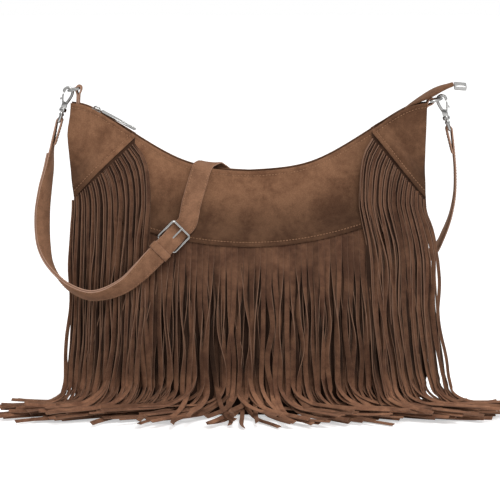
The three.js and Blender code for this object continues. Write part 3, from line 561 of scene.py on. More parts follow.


# Body suede with painted shade: darker low on the yoke and below it, and towards the right end
BODY_SUEDE = suede("body_suede", tone(104, 71, 51), tone(140, 101, 75), shade=True)
# The front panel behind the fringe: the same suede with painted shade, far darker and with little sheen
PAINTED_SHADE_SUEDE = suede("painted_shade_panel_suede", tone(44, 29, 22), tone(60, 41, 31), sheen=0.05)
STRAP_SUEDE = suede("strap_suede", tone(118, 84, 63), tone(144, 105, 80), tone(172, 136, 116), 60.0)
# Fringe suede: its strand attribute carries painted shade on the inner strips and painted light on the
# floor tails
STRAND_SUEDE = suede(
    "fringe_suede", tone(70, 46, 34), tone(101, 71, 53), tone(128, 97, 79), 40.0, strand_change=0.5
)
THREAD = suede("thread", tone(140, 103, 78), tone(168, 128, 98), None, 300.0, sheen=0.1, depth=0.1)
NICKEL = plated("bright_nickel", tone(186, 185, 183), 0.08, 0.22)
ZIP_METAL = plated("zip_nickel", tone(172, 171, 168), 0.14, 0.3)
ZIP_CLOTH = woven("zip_cloth", tone(34, 26, 23), tone(58, 45, 38), 420)
LINING_CLOTH = woven("lining_cloth", tone(52, 40, 33), tone(74, 58, 48), 300)


# Body: panels, yokes, ears and walls


def crowded(count, length, edge=LEATHER / 2):
    """Shares along a side, crowded where its cut edge is rounded."""
    near = np.array([0, 0.12, 0.45]) * edge / length
    even = np.linspace(edge / length, 1 - edge / length, count)
    return np.concatenate([near, even, 1 - near[::-1]])


def rounded(distance, thick):
    """Half the thickness of a sheet at a distance from its cut edge."""
    share = np.clip(distance / (thick / 2), 0, 1)
    return thick / 2 * np.sqrt(1 - (1 - share) ** 2)


def body_leather(side, x_from, x_to, low, high, step, swell, columns, rows):
    x = mix(x_from, x_to, crowded(columns, abs(x_to - x_from)))[:, None]
    tall = high(x) - low(x)
    z = low(x) + tall * crowded(rows, float(np.max(tall)))[None, :]
    x = x + 0 * z
    reach = np.minimum(np.abs(x - x_from), np.abs(x_to - x))
    reach = np.minimum(reach, np.minimum(z - low(x), high(x) - z))
    half = rounded(np.maximum(reach, 0), LEATHER)
    middle = half_depth(x, z) + step(x, z) - LEATHER / 2
    outer = np.stack([x, side * (middle + half + swell(x, z)), z], -1)
    inner = np.stack([x, side * (middle - half), z], -1)
    return slumped(closed_sheet(outer, inner))


def sewn_edge(distance):
    """A turned edge: a soft roll, then the dip of its stitch row."""
    roll = 0.55 * np.exp(-(((distance - 1.8) / 1.5) ** 2))
    return roll - 0.45 * np.exp(-(((distance - STITCH_INSET) / 0.9) ** 2))


def yoke_swell(x, z):
    clear = smooth(np.abs(x), HALF_WIDTH, 130)
    fade = smooth(z - seam_at(x), 0, 14) * smooth(top_at(x) - z, 0, 14) * clear
    return 1.1 * fade * soft_dents(x, z) + sewn_edge(z - seam_at(x)) + sewn_edge(top_at(x) - z)


def ear_swell(x, z):
    past = (z - ear_seam_at(x)) / math.sqrt(2)
    fade = smooth(past, 0, 10) * smooth(top_at(x) - z, 0, 10)
    return 1.3 * fade * soft_dents(x + 70, z * 1.6) + sewn_edge(past) + sewn_edge(top_at(x) - z)


EAR_TIP = 1.5


def panel_top(x):
    return seam_at(x) + SEAM_ALLOWANCE + 1


def yoke_top(x):
    return np.minimum(top_at(x), ear_seam_at(x) + SEAM_ALLOWANCE)


def back_swell(x, z):
    return 0.8 * soft_dents(x, z) * smooth(panel_top(x) - z, 0, 20)


def build_ear(name, side, sign):
    start = sign * float(ear_start(sign) + EAR_TIP)
    end = sign * HALF_WIDTH
    ear = body_leather(side, start, end, ear_seam_at, top_at, ear_step, ear_swell, 60, 70)
    add_piece(f"{name}_ear_suede", mesh_of("ear", ear), BODY_SUEDE, nodes=[f"{name}_ear"])


def build_body():
    for name, side, swell, look in (
        # The front panel takes the suede with painted shade
        ("front", -1, no_step, PAINTED_SHADE_SUEDE),
        ("back", 1, back_swell, BODY_SUEDE),
    ):
        ends = (side, -HALF_WIDTH, HALF_WIDTH)
        panel = body_leather(*ends, bottom_at, panel_top, no_step, swell, 130, 50)
        add_piece(f"{name}_painted_shade_panel_suede", mesh_of("panel", panel), look, nodes=[f"{name}_panel"])
        yoke = body_leather(*ends, seam_at, yoke_top, yoke_step, yoke_swell, 240, 56)
        add_piece(f"{name}_yoke_suede", mesh_of("yoke", yoke), BODY_SUEDE, nodes=[f"{name}_yoke"])
        build_ear(f"left_{name}", side, -1)
        build_ear(f"right_{name}", side, 1)


def gusset_path(sign):
    straight = np.linspace(top_at(HALF_WIDTH) - GUSSET_DROP, CORNER_RADIUS, 40)
    path = [(sign * HALF_WIDTH, z, -sign, 0) for z in straight]
    for turn in np.linspace(0, math.pi / 2, 25)[1:]:
        aside = math.cos(turn)
        rise_in = math.sin(turn)
        x = sign * (HALF_WIDTH - CORNER_RADIUS * (1 - aside))
        path.append((x, CORNER_RADIUS * (1 - rise_in), -sign * aside, rise_in))
    return np.array(path)


def wall_leather(path, columns=12):
    """A wall between the front and the back panel along a path with its inward direction."""
    x, z, in_x, in_z = (path[:, i][None, :] for i in range(4))
    half = half_depth(x, z) - LEATHER - WALL_GAP
    across = mix(-1, 1, crowded(columns, 40))[:, None]
    y = across * half
    along = np.concatenate([[0], np.cumsum(np.hypot(np.diff(path[:, 0]), np.diff(path[:, 1])))])
    reach = np.minimum(half - np.abs(y), np.minimum(along, along[-1] - along)[None, :])
    thin = rounded(np.maximum(reach, 0), LEATHER)

    def face(inset):
        return np.stack([x + inset * in_x, y, z + inset * in_z], -1)

    return slumped(closed_sheet(face(LEATHER / 2 - thin), face(LEATHER / 2 + thin)))


def build_walls():
    for end, sign in (("left", -1), ("right", 1)):
        mesh = mesh_of("gusset", wall_leather(gusset_path(sign)))
        add_piece(f"{end}_gusset_suede", mesh, BODY_SUEDE, nodes=[f"{end}_gusset"])
    reach = HALF_WIDTH - CORNER_RADIUS - GAP
    path = np.array([(x, 0, 0, 1) for x in np.linspace(-reach, reach, 60)])
    add_piece("base_suede", mesh_of("base", wall_leather(path)), BODY_SUEDE, nodes=["base_panel"])


LINING_RINGS = 26
LINING_SIDES = 96


def lining_ring(layer, depth):
    """One ring of the lining's wall, a layer in from the bag's outline."""
    turns = np.linspace(0, 2 * math.pi, LINING_SIDES, endpoint=False)
    across = np.sign(np.cos(turns)) * np.abs(np.cos(turns)) ** 0.35 * HALF_WIDTH
    share = (HALF_WIDTH - layer) / HALF_WIDTH
    x = across * share
    low = bottom_at(across) * share + layer - GAP
    rim = top_at(HALF_WIDTH) - GUSSET_DROP - RIM_INSET
    z = mix(low, np.minimum(top_at(x) - MOUTH_DROP, rim), depth)
    edge = np.clip(np.sin(turns) * 4, -1, 1)
    return np.stack([x, edge * (half_depth(x, z) - layer), z], -1)


def build_lining():
    """An open cup of cloth just inside the walls: down its inner face and up its outer one."""
    inset = LEATHER + WALL_GAP + GAP
    rings = [lining_ring(inset, depth) for depth in np.linspace(1, 0, LINING_RINGS)]
    rings += [lining_ring(inset + LINING, depth) for depth in np.linspace(0, 1, LINING_RINGS)]
    faces = ring_faces(len(rings), LINING_SIDES, closed=True)
    del faces[(LINING_RINGS - 1) * LINING_SIDES : LINING_RINGS * LINING_SIDES]
    for ring, way in ((LINING_RINGS - 1, 1), (LINING_RINGS, -1)):
        start = ring * LINING_SIDES
        end = start + LINING_SIDES - 1
        for k in range(LINING_SIDES // 2 - 1):
            faces.append((start + k, start + k + 1, end - k - 1, end - k)[::way])
    mesh = mesh_of("lining", slumped((np.concatenate(rings), faces)))
    add_piece("lining_cloth", mesh, LINING_CLOTH, nodes=["lining"])


build_body()
build_walls()
build_lining()


# Repeats along a path: leather strips, stitches and zip teeth


def path_tree(name, sizes, material, result):
    """A tree that takes paths, its sizes in metres and a material."""
    inputs = [("Paths", "NodeSocketGeometry", None)]
    inputs += [(label, "NodeSocketFloat", value) for label, value in sizes.items()]
    inputs.append((material, "NodeSocketMaterial", None))
    return new_group(name, "GeometryNodeTree", inputs, [(result, "NodeSocketGeometry")])


def finish_tree(tree, geometry, material, result):
    real = node(tree, "GeometryNodeRealizeInstances", {0: geometry})
    finish = node(tree, "GeometryNodeSetMaterial", {"Geometry": real.outputs[0], "Material": material})
    tree.links.new(finish.outputs[0], result)
    return tree


def path_curve(tree, given):
    return node(tree, "GeometryNodeMeshToCurve", {0: given["Paths"]}).outputs[0]


def spaced_points(tree, given):
    values = {"Curve": path_curve(tree, given), "Length": given["Pitch"]}
    return node(tree, "GeometryNodeResampleCurve", values, mode="LENGTH").outputs[0]


def beads(tree, points, segments, *sizes):
    """A bead on each point, turned along the path, with its three sizes."""
    bead = node(tree, "GeometryNodeMeshUVSphere", {"Segments": segments, "Rings": 4, "Radius": 0.5})
    ahead = node(tree, "GeometryNodeInputTangent").outputs[0]
    turn = node(tree, "FunctionNodeAlignRotationToVector", {"Vector": ahead}, axis="X").outputs[0]
    size = node(tree, "ShaderNodeCombineXYZ", dict(enumerate(sizes))).outputs[0]
    values = {"Points": points, "Instance": bead.outputs["Mesh"], "Rotation": turn, "Scale": size}
    return node(tree, "GeometryNodeInstanceOnPoints", values).outputs[0]


def strip_section(tree, given):
    """The strip's outline, with its two cut edges marked as raw."""
    sizes = {"Width": given["Width"], "Height": given["Thickness"]}
    outline = node(tree, "GeometryNodeCurvePrimitiveQuadrilateral", sizes).outputs[0]
    corners = {"Curve": outline, "Radius": given["Edge Round"]}
    outline = node(tree, "GeometryNodeFilletCurve", corners, mode="POLY").outputs[0]
    spot = node(tree, "ShaderNodeSeparateXYZ", {0: node(tree, "GeometryNodeInputPosition").outputs[0]})
    reach = maths(tree, "ABSOLUTE", spot.outputs["X"])
    half = maths(tree, "MULTIPLY", given["Width"], 0.5)
    edge = maths(tree, "MULTIPLY", given["Edge Round"], 0.5)
    raw = maths(tree, "GREATER_THAN", reach, maths(tree, "SUBTRACT", half, edge))
    values = {"Geometry": outline, "Name": "raw", "Value": raw}
    store = "GeometryNodeStoreNamedAttribute"
    return node(tree, store, values, data_type="FLOAT", domain="POINT").outputs[0]


def build_strip_tree():
    """Leather strips with rounded edges along the paths; lie is the way the width lies."""
    sizes = {"Width": 0.006, "Thickness": 0.0012, "Edge Round": 0.0003}
    tree, given, out = path_tree("leather_strips", sizes, "Leather", "Strips")
    named = "GeometryNodeInputNamedAttribute"
    lie = node(tree, named, {"Name": "lie"}, data_type="FLOAT_VECTOR").outputs[0]
    wide = node(tree, named, {"Name": "taper"}, data_type="FLOAT").outputs[0]
    values = {"Curve": path_curve(tree, given), "Normal": lie}
    turned = node(tree, "GeometryNodeSetCurveNormal", values, mode="FREE").outputs[0]
    section = strip_section(tree, given)
    values = {"Curve": turned, "Profile Curve": section, "Scale": wide, "Fill Caps": True}
    strip = node(tree, "GeometryNodeCurveToMesh", values).outputs[0]
    return finish_tree(tree, strip, given["Leather"], out["Strips"])


def build_stitch_tree():
    sizes = {"Pitch": 0.0032, "Stitch": 0.0023, "Thread": 0.0004}
    tree, given, out = path_tree("stitch_rows", sizes, "Material", "Stitches")
    across = maths(tree, "MULTIPLY", given["Thread"], 2.0)
    sewn = beads(tree, spaced_points(tree, given), 6, given["Stitch"], across, across)
    return finish_tree(tree, sewn, given["Material"], out["Stitches"])


def build_teeth_tree():
    """Zip teeth that stand in turn a little to one side and to the other."""
    sizes = {"Pitch": 0.0011, "Tooth": 0.0012, "Long": 0.0026, "Tall": 0.0019, "Stagger": 0.0006}
    tree, given, out = path_tree("zip_teeth", sizes, "Metal", "Teeth")
    odd = maths(tree, "MODULO", node(tree, "GeometryNodeInputIndex").outputs[0], 2.0)
    shift = maths(tree, "MULTIPLY", maths(tree, "MULTIPLY_ADD", odd, 2.0, -1.0), given["Stagger"])
    offset = node(tree, "ShaderNodeCombineXYZ", {1: shift}).outputs[0]
    values = {"Geometry": spaced_points(tree, given), "Offset": offset}
    moved = node(tree, "GeometryNodeSetPosition", values).outputs[0]
    set_in = beads(tree, moved, 8, given["Tooth"], given["Long"], given["Tall"])
    return finish_tree(tree, set_in, given["Metal"], out["Teeth"])


STRIPS = build_strip_tree()
STITCHES = build_stitch_tree()
TEETH = build_teeth_tree()


def path_mesh(name, paths, closed):
    """A mesh of bare edges along paths given in millimetres."""
    edges = []
    count = 0
    for path in paths:
        steps = len(path)
        edges += [(count + i, count + i + 1) for i in range(steps - 1)]
        if closed:
            edges.append((count + steps - 1, count))
        count += steps
    points = np.concatenate([np.asarray(path, float) for path in paths])
    mesh = bpy.data.meshes.new(name)
    mesh.from_pydata((points * MM).tolist(), edges, [])
    return mesh


def store(mesh, name, kind, rows):
    field = "vector" if kind == "FLOAT_VECTOR" else "value"
    values = np.concatenate(rows).astype(np.float32).ravel()
    mesh.attributes.new(name, kind, "POINT").data.foreach_set(field, values)


def grown(name, tree, paths, values, lies=None, strands=None, tapers=None, closed=False):
    """Runs a tree on a set of paths (in millimetres) and gives the plain mesh."""
    mesh = path_mesh(name, paths, closed)
    store(mesh, "taper", "FLOAT", tapers or [np.ones(len(path)) for path in paths])
    if lies is not None:
        rows = [np.broadcast_to(lie, (len(path), 3)) for lie, path in zip(lies, paths)]
        store(mesh, "lie", "FLOAT_VECTOR", rows)
    if strands is not None:
        store(mesh, "strand", "FLOAT", strands)
    source = bpy.data.objects.new(name, mesh)
    bpy.context.scene.collection.objects.link(source)
    modifier = source.modifiers.new("grow", "NODES")
    modifier.node_group = tree
    sockets = {s.name: s.identifier for s in tree.interface.items_tree if s.in_out == "INPUT"}
    for label, value in values.items():
        modifier[sockets[label]] = value
    seen = source.evaluated_get(bpy.context.evaluated_depsgraph_get())
    result = bpy.data.meshes.new_from_object(seen)
    source.modifiers.remove(modifier)
    bpy.data.objects.remove(source)
    for spare in ("lie", "taper"):
        if spare in result.attributes:
            result.attributes.remove(result.attributes[spare])
    return smoothed(result, 50)


def strips(name, paths, lies, width, thickness, material, edge=0.3, **more):
    sizes = {"Width": width, "Thickness": thickness, "Edge Round": edge}
    values = {size: length * MM for size, length in sizes.items()}
    values["Leather"] = material
    return grown(name, STRIPS, paths, values, lies=lies, **more)


# Zip


def build_zip():
    outer = TOP_HALF_DEPTH - LEATHER - GAP
    inner = TEETH_HALF + GAP
    for name, side in (("front", -1), ("back", 1)):
        x = np.linspace(-TAPE_END, TAPE_END, 180)[None, :] + np.zeros((9, 1))
        y = side * mix(outer, inner, crowded(3, 8, TAPE / 2))[:, None] + 0 * x
        reach = np.minimum(np.abs(np.abs(y) - outer), np.abs(np.abs(y) - inner))
        half = rounded(np.minimum(reach, TAPE_END - np.abs(x)), TAPE)
        middle = top_at(x) - TAPE_DROP - TAPE / 2
        upper = np.stack([x, y, middle + half], -1)
        lower = np.stack([x, y, middle - half], -1)
        mesh = mesh_of("tape", closed_sheet(upper, lower))
        add_piece(f"zip_cloth_{name}", mesh, ZIP_CLOTH, nodes=[f"zip_tape_{name}"])
    x = np.linspace(TEETH_FROM + 1, TEETH_TO - 1, 240)
    line = np.stack([x, 0 * x, top_at(x) - TAPE_DROP - TAPE / 2], -1)
    teeth = grown("teeth", TEETH, [line], {"Metal": ZIP_METAL})
    add_piece("zip_teeth_row", teeth, None, nodes=["zip_teeth"])


SLIDER_X = 27 - HALF_WIDTH
SLIDER_FLOOR = -TAPE_DROP + GAP + 0.4
SLIDER_TOP = SLIDER_FLOOR + 1.4
SLIDER_PLATE = (11, 8, 1.4)
BAIL_GAP = 3
PULL_NECK = 6.4
PULL_LONG = 44
PULL_HALF = 2.1
PULL_THICK = 0.9
PULL_TURN = 0.4


def slider_frame():
    tilt = math.atan2(float(top_at(SLIDER_X + 0.5) - top_at(SLIDER_X - 0.5)), 1)
    along = vec(math.cos(tilt), 0, math.sin(tilt))
    up = vec(-math.sin(tilt), 0, math.cos(tilt))
    return vec(SLIDER_X, 0, float(top_at(SLIDER_X))), along, DEPTH, up


def build_slider():
    frame_at = slider_frame()
    plate = soft_box(SLIDER_PLATE, (0, 0, SLIDER_TOP - SLIDER_PLATE[2] / 2), 0.6)
    half = [(3, -0.4), (3, 2.6), (2, 3.5)]
    arch = [(-x, 0, SLIDER_TOP + z) for x, z in half] + [(x, 0, SLIDER_TOP + z) for x, z in half[::-1]]
    bail = tube(arch, 0.85, 12, normal=DEPTH, flat=1.25)
    mesh = mesh_of("slider", placed(plate, *frame_at), placed(bail, *frame_at))
    add_piece("slider_body", mesh, ZIP_METAL, "slider", ["zip_slider"])


def build_puller():
    origin, along, across, up = slider_frame()
    pivot = origin + up * (SLIDER_TOP + BAIL_GAP - GAP - 0.7)
    legs = [tube([(-0.4, y, 0), (3, y, 0), (PULL_NECK, y * 0.75, 0)], 0.75, 10) for y in (-2.75, 2.75)]
    level = [tube([(0, -2.9, 0), (0, 2.9, 0)], 0.72, 10), *legs]
    # The bar hangs turned about its length, so its broad face looks forward
    face = across * math.cos(PULL_TURN) + up * math.sin(PULL_TURN)
    back = up * math.cos(PULL_TURN) - across * math.sin(PULL_TURN)
    rim = [
        (PULL_NECK, -PULL_HALF, 0),
        (PULL_LONG, -PULL_HALF, 0),
        (PULL_LONG + 1.2, 0, 0),
        (PULL_LONG, PULL_HALF, 0),
        (PULL_NECK, PULL_HALF, 0),
        (PULL_NECK - 0.8, 0, 0),
    ]
    bar = [
        soft_box((PULL_LONG - 7, 2 * PULL_HALF, PULL_THICK), ((PULL_LONG + 7) / 2, 0, 0), 0.3),
        tube(rim, 0.72, 12, closed=True, normal=vec(0, 0, 1)),
    ]
    solids = [placed(solid, pivot, along, across, up) for solid in level]
    solids += [placed(solid, pivot, along, face, back) for solid in bar]
    add_piece("zip_puller", mesh_of("pull", *solids), NICKEL, "pull", ["zip_pull"])


def curve_through(points, steps):
    """A smooth curve through points."""
    points = np.asarray(points, float)
    keys = np.concatenate([[2 * points[0] - points[1]], points, [2 * points[-1] - points[-2]]])
    out = []
    for t in np.linspace(0, len(points) - 1, steps):
        i = min(int(t), len(points) - 2)
        s = t - i
        p0, p1, p2, p3 = keys[i : i + 4]
        rising = 3 * s**2 - 2 * s**3
        leaving = (s**3 - 2 * s**2 + s) * (p2 - p0) / 2
        arriving = (s**3 - s**2) * (p3 - p1) / 2
        out.append((1 - rising) * p1 + leaving + rising * p2 + arriving)
    return np.array(out)


TAIL_START = TEETH_TO + 2
EAR_TOP = float(top_at(HALF_WIDTH))
TAIL = [
    (TAIL_START, 0, float(top_at(TAIL_START)) - TAPE_DROP + GAP),
    (HALF_WIDTH - 10, 0, EAR_TOP + 0.6),
    (HALF_WIDTH + 2, 0, EAR_TOP + 7.6),
    (HALF_WIDTH + 14, 0, EAR_TOP + 13.6),
    (HALF_WIDTH + 27, 0, EAR_TOP + 18.3),
]


TAIL_STEPS = 60
TAIL_LONG = 60.0
TAIL_ENDS = (14, 8)
TAIL_BELLY = 13
TAIL_THICK = 2.4
CLIP_ALONG = unit(vec(0.996, 0, -0.09))
CLIP_ACROSS = vec(0, 0.94, 0.34)
CLIP_ACROSS = unit(CLIP_ACROSS - CLIP_ALONG * np.dot(CLIP_ALONG, CLIP_ACROSS))


def build_zip_tail():
    """The zip's free end: a soft suede tab, widest at its middle."""
    middle = curve_through(TAIL, TAIL_STEPS)
    along = unit(np.gradient(middle, axis=0))
    across = mix(-1, 1, crowded(14, 20, TAIL_THICK / 2))
    outer = []
    inner = []
    for at, ahead, v in zip(middle, along, np.linspace(0, 1, TAIL_STEPS)):
        width = vec(0, math.cos(0.35 * v), math.sin(0.35 * v))
        up = unit(np.cross(ahead, width))
        half = (mix(*TAIL_ENDS, v) + TAIL_BELLY * math.sin(math.pi * v) ** 2) / 2
        reach = np.minimum((1 - np.abs(across)) * half, min(v, 1 - v) * TAIL_LONG)
        thick = rounded(np.maximum(reach, 0), TAIL_THICK)[:, None] * up
        sag = 0.7 * across**2 * smooth(v, 0.1, 0.5)
        base = at + across[:, None] * half * width + (TAIL_THICK / 2 - sag)[:, None] * up
        outer.append(base + thick)
        inner.append(base - thick)
    tail = closed_sheet(np.stack(outer, 1), np.stack(inner, 1))
    add_piece("zip_tail_suede", mesh_of("tail", tail), BODY_SUEDE, nodes=["zip_end_tab"])


def build_tail_clip():
    """A metal clip over the tail's tip: a soft block round a thicker, narrower one."""
    block = soft_box((13, 12, 4.8), (6.8, 0, -1.2), 1.3, 4)
    cheek = soft_box((9.4, 8.6, 5.3), (6.9, 0, -1.2), 0.5)
    frame_at = (np.array(TAIL[-1], float), CLIP_ALONG, CLIP_ACROSS, np.cross(CLIP_ALONG, CLIP_ACROSS))
    mesh = mesh_of("clip", placed(block, *frame_at), placed(cheek, *frame_at))
    add_piece("zip_tail_clip", mesh, NICKEL, nodes=["zip_end_clip"])


# Rings, tabs and snap hooks

ENDS = {
    "left": {
        "sign": -1,
        "bar": vec(9 - HALF_WIDTH, 0, EAR_TOP + 14.6),
        "out": vec(-0.97, 0, -0.24),
        "lean": 0.3,
    },
    "right": {
        "sign": 1,
        "bar": vec(HALF_WIDTH + 3.5, 0, EAR_TOP + 1.6),
        "out": vec(0.98, 0, 0.2),
        "lean": 0.25,
    },
}
TAB_THICK = 1.6
TAB_SHUT = 0.85


def build_ring(name, bar, out):
    half = RING_WIDE / 2
    turns = np.linspace(0, math.pi, 28)
    path = [bar + out * RING_DEEP * math.sin(t) - DEPTH * math.cos(t) * half for t in turns]
    path += [bar + DEPTH * half * share for share in (0.85, 0.4, -0.4, -0.85)]
    normal = unit(np.cross(out, DEPTH))
    mesh = mesh_of("ring", tube(path, WIRE, 16, closed=True, normal=normal))
    add_piece(f"{name}_ring_wire", mesh, NICKEL, f"{name}_ring", [f"{name}_d_ring"])


def build_tab(name, sign, bar):
    """A loop of leather; its two legs are sewn flat together and open only for the ring's bar."""
    foot = vec(sign * (HALF_WIDTH - 7.5), 0, float(top_at(HALF_WIDTH)) - GUSSET_DROP + 2)
    away = unit(bar - foot)
    side = unit(np.cross(away, DEPTH))
    loop = WIRE + GAP + TAB_THICK / 2
    reach = float(np.linalg.norm(bar - foot))
    legs = []
    for share in np.linspace(0, 0.93, 14):
        gap = mix(TAB_SHUT, loop, float(smooth(share * reach, reach - 7, reach - 1)))
        legs.append((foot + away * reach * share, side * gap))
    turns = np.linspace(0, math.pi, 17)
    over = [bar - side * loop * math.cos(t) + away * loop * math.sin(t) for t in turns]
    path = [at - gap for at, gap in legs] + over + [at + gap for at, gap in legs[::-1]]
    width = 2 * (RING_WIDE / 2 - WIRE - 1.2)
    mesh = strips("tab", [path], [DEPTH], width, TAB_THICK, STRAP_SUEDE, 0.35)
    add_piece(f"{name}_tab_suede", mesh, None, nodes=[f"{name}_tab"])


def hook_frame(sign, bar, out, lean):
    up = vec(-sign * math.sin(lean), 0, math.cos(lean))
    across = unit(np.cross(DEPTH, up)) * sign
    origin = bar + out * RING_DEEP - up * (HOOK_BORE - WIRE - GAP)
    return origin, across, unit(np.cross(up, across)), up


HEART_Z = -14

# Turned parts of the hook, as radii and heights
SHOULDER = [(1.4, -19.4), (2.6, -19.2), (2.8, -18.7), (2.6, -18.2)]
SHOULDER += [(2.1, -17.9), (2.7, -17.3), (1.8, -16.6)]
STEM_HEAD = [(1.2, -25.7), (2.4, -25.6), (2.8, -25.1), (2.8, -24.3), (2.4, -23.8)]
COLLAR = [(1.9, -21.6), (3.4, -21.6), (3.8, -21), (3.8, -18.6), (3.4, -18), (1.9, -18)]


def claw_solids():
    middle = HOOK_BORE + HOOK_WIRE
    keys = [(-0.8, 0, HEART_Z), (-2.4, 0, -10), (0.8 - middle, 0, -6)]
    keys += [(-middle, 0, -2.5), (-middle, 0, 0)]
    turns = np.linspace(0, math.pi, 22)[1:]
    bend = [(-middle * math.cos(t), 0, middle * math.sin(t)) for t in turns]
    nose = [(middle - 0.1, 0, -1), (middle - 0.2, 0, -2)]
    path = np.concatenate([curve_through(keys, 18), bend, nose])
    radii = np.full(len(path), HOOK_WIRE)
    radii[-2:] = (1.4, 1.1)
    claw = tube(path, radii, 16, normal=DEPTH)
    cheeks = [soft_box((5.6, 1.1, 7.4), (0, y, HEART_Z), 0.5) for y in (-1.75, 1.75)]
    spine = soft_box((2.6, 4.2, 7), (-1.4, 0, HEART_Z), 0.6)
    pin = tube([(1.9, -2.6, HEART_Z + 1.5), (1.9, 2.6, HEART_Z + 1.5)], 0.6, 12)
    shoulder = lathe(SHOULDER)
    stem = lathe([(1.5, -25.4), (1.6, -18.5)])
    head = lathe(STEM_HEAD)
    return [claw, *cheeks, spine, pin, shoulder, stem, head]


def trigger_solids():
    path = curve_through([(2.3, 0, HEART_Z + 1), (3.2, 0, -9.5), (4.1, 0, -6), (4.4, 0, -2.9)], 14)
    gate = tube(*round_ended(path, 0.8), 12, normal=DEPTH)
    knob = tube([(3.4, 0, -8.6), (5, 0, -8.8), (5.6, 0, -8.9)], [0.7, 0.8, 0.7], 12, normal=DEPTH)
    cap = soft_box((1, 2, 2.8), (5.6, 0, -8.8), 0.45)
    return [gate, knob, cap]


def rounded_frame(half_a, half_b, corner):
    """A rectangle with rounded corners, as (a, b) pairs."""
    path = []
    for side_a, side_b, start in ((1, -1, -90), (1, 1, 0), (-1, 1, 90), (-1, -1, 180)):
        for turn in np.radians(start + np.linspace(0, 90, 6)):
            a = side_a * (half_a - corner) + corner * math.cos(turn)
            path.append((a, side_b * (half_b - corner) + corner * math.sin(turn)))
    return path


def eye_solids():
    """The loop that the strap goes through, with the collar that the stem turns in."""
    half = (STRAP_WIDE + 2 * GAP + 0.6) / 2 + WIRE
    middle = -EYE_DROP - EYE_TALL / 2
    path = [(0, y, middle + z) for y, z in rounded_frame(half, EYE_TALL / 2, 1.8)]
    loop = tube(path, WIRE, 14, closed=True, normal=vec(1, 0, 0))
    return [loop, lathe(COLLAR)]


def build_hook(name, end):
    frame_at = hook_frame(**end)
    for part, solids, body, cad in (
        ("claw", claw_solids(), f"{name}_claw", "hook"),
        ("trigger_lever", trigger_solids(), f"{name}_gate", "trigger"),
        ("strap_eye", eye_solids(), "root", "swivel_eye"),
    ):
        mesh = mesh_of(part, *[placed(solid, *frame_at) for solid in solids])
        add_piece(f"{name}_{part}", mesh, NICKEL, body, [f"{name}_{cad}"])


# Strap


def centripetal(keys, steps):
    """Points and tangents of a centripetal curve through keys, at even key shares."""
    keys = np.asarray(keys, float)
    keys = np.concatenate([[2 * keys[0] - keys[1]], keys, [2 * keys[-1] - keys[-2]]])
    last = len(keys) - 4
    spots = []
    aheads = []
    for t in np.linspace(0, last + 1, steps + 1):
        i = min(int(t), last)
        s = t - i
        p0, p1, p2, p3 = keys[i : i + 4]
        steps_between = ((p0, p1), (p1, p2), (p2, p3))
        d0, d1, d2 = (max(1e-4, math.sqrt(np.linalg.norm(b - a))) for a, b in steps_between)
        m1 = ((p1 - p0) / d0 - (p2 - p0) / (d0 + d1) + (p2 - p1) / d1) * d1
        m2 = ((p2 - p1) / d1 - (p3 - p1) / (d1 + d2) + (p3 - p2) / d2) * d1
        c2 = 3 * (p2 - p1) - 2 * m1 - m2
        c3 = 2 * (p1 - p2) + m1 + m2
        spots.append(p1 + m1 * s + c2 * s**2 + c3 * s**3)
        aheads.append(m1 + 2 * c2 * s + 3 * c3 * s**2)
    return np.array(spots), np.array(aheads)


def route(keys, steps, turn):
    """A strap's middle line with its width and outward directions."""
    spots, ahead = centripetal([k[0] for k in keys], steps)
    side, _ = centripetal([k[1] for k in keys], steps)
    ahead = unit(ahead)
    side = unit(side - ahead * np.sum(side * ahead, 1, keepdims=True))
    return spots, side, unit(np.cross(side, ahead)) * turn


def fold_round(bar, side, start, over, steps=12):
    """A half turn round a bar, over its far side."""
    turns = np.linspace(0, math.pi, steps + 1)
    lift = np.array([start * math.cos(t) + over * math.sin(t) for t in turns])
    return bar + lift * STRAP_FOLD, np.broadcast_to(side, lift.shape), lift


def eye_bar(end):
    origin, _, _, up = hook_frame(**end)
    return origin - up * (EYE_DROP + EYE_TALL)


BUCKLE_AT = vec(-77.5, -44.8, 185.4)
BUCKLE_ALONG = unit(vec(0.69, 0.19, 0.69))
BUCKLE_ACROSS = vec(0.72, 0, -0.69)
BUCKLE_ACROSS = unit(BUCKLE_ACROSS - BUCKLE_ALONG * np.dot(BUCKLE_ACROSS, BUCKLE_ALONG))
BUCKLE_OUT = unit(np.cross(BUCKLE_ACROSS, BUCKLE_ALONG))
HALF_FRAME = BUCKLE_LONG / 2 - BUCKLE_WIRE


def at_buckle(along, out, across=0.0):
    return BUCKLE_AT + BUCKLE_ALONG * along + BUCKLE_OUT * out + BUCKLE_ACROSS * across


def loop_keys():
    bar = eye_bar(ENDS["left"])
    return [
        (vec(bar[0] - STRAP_FOLD, 0, bar[2]), DEPTH),
        (vec(-205.4, -2, 274), vec(0.1, 0.99, 0)),
        (vec(-208, -6, 252), vec(0.35, 0.93, 0)),
        (vec(-212, -12, 229), vec(0.55, 0.83, 0)),
        (vec(-214.5, -18, 205), vec(0.65, 0.76, 0)),
        (vec(-213, -27, 177), vec(0.6, 0.77, -0.2)),
        (vec(-208, -35, 160), vec(0.4, 0.85, -0.35)),
        (vec(-197, -42, 144), vec(0.2, 0.87, -0.45)),
        (vec(-182, -50, 132.5), vec(0.05, 0.87, -0.5)),
        (vec(-160, -58, 127), vec(0, 0.85, -0.55)),
        (vec(-130, -61, 137), vec(0.2, 0.6, -0.75)),
        (at_buckle(-HALF_FRAME - 20, STRAP_FOLD), vec(0.66, 0.1, -0.74)),
        (at_buckle(-HALF_FRAME - 10, STRAP_FOLD), BUCKLE_ACROSS),
        (at_buckle(-HALF_FRAME, STRAP_FOLD), BUCKLE_ACROSS),
    ]


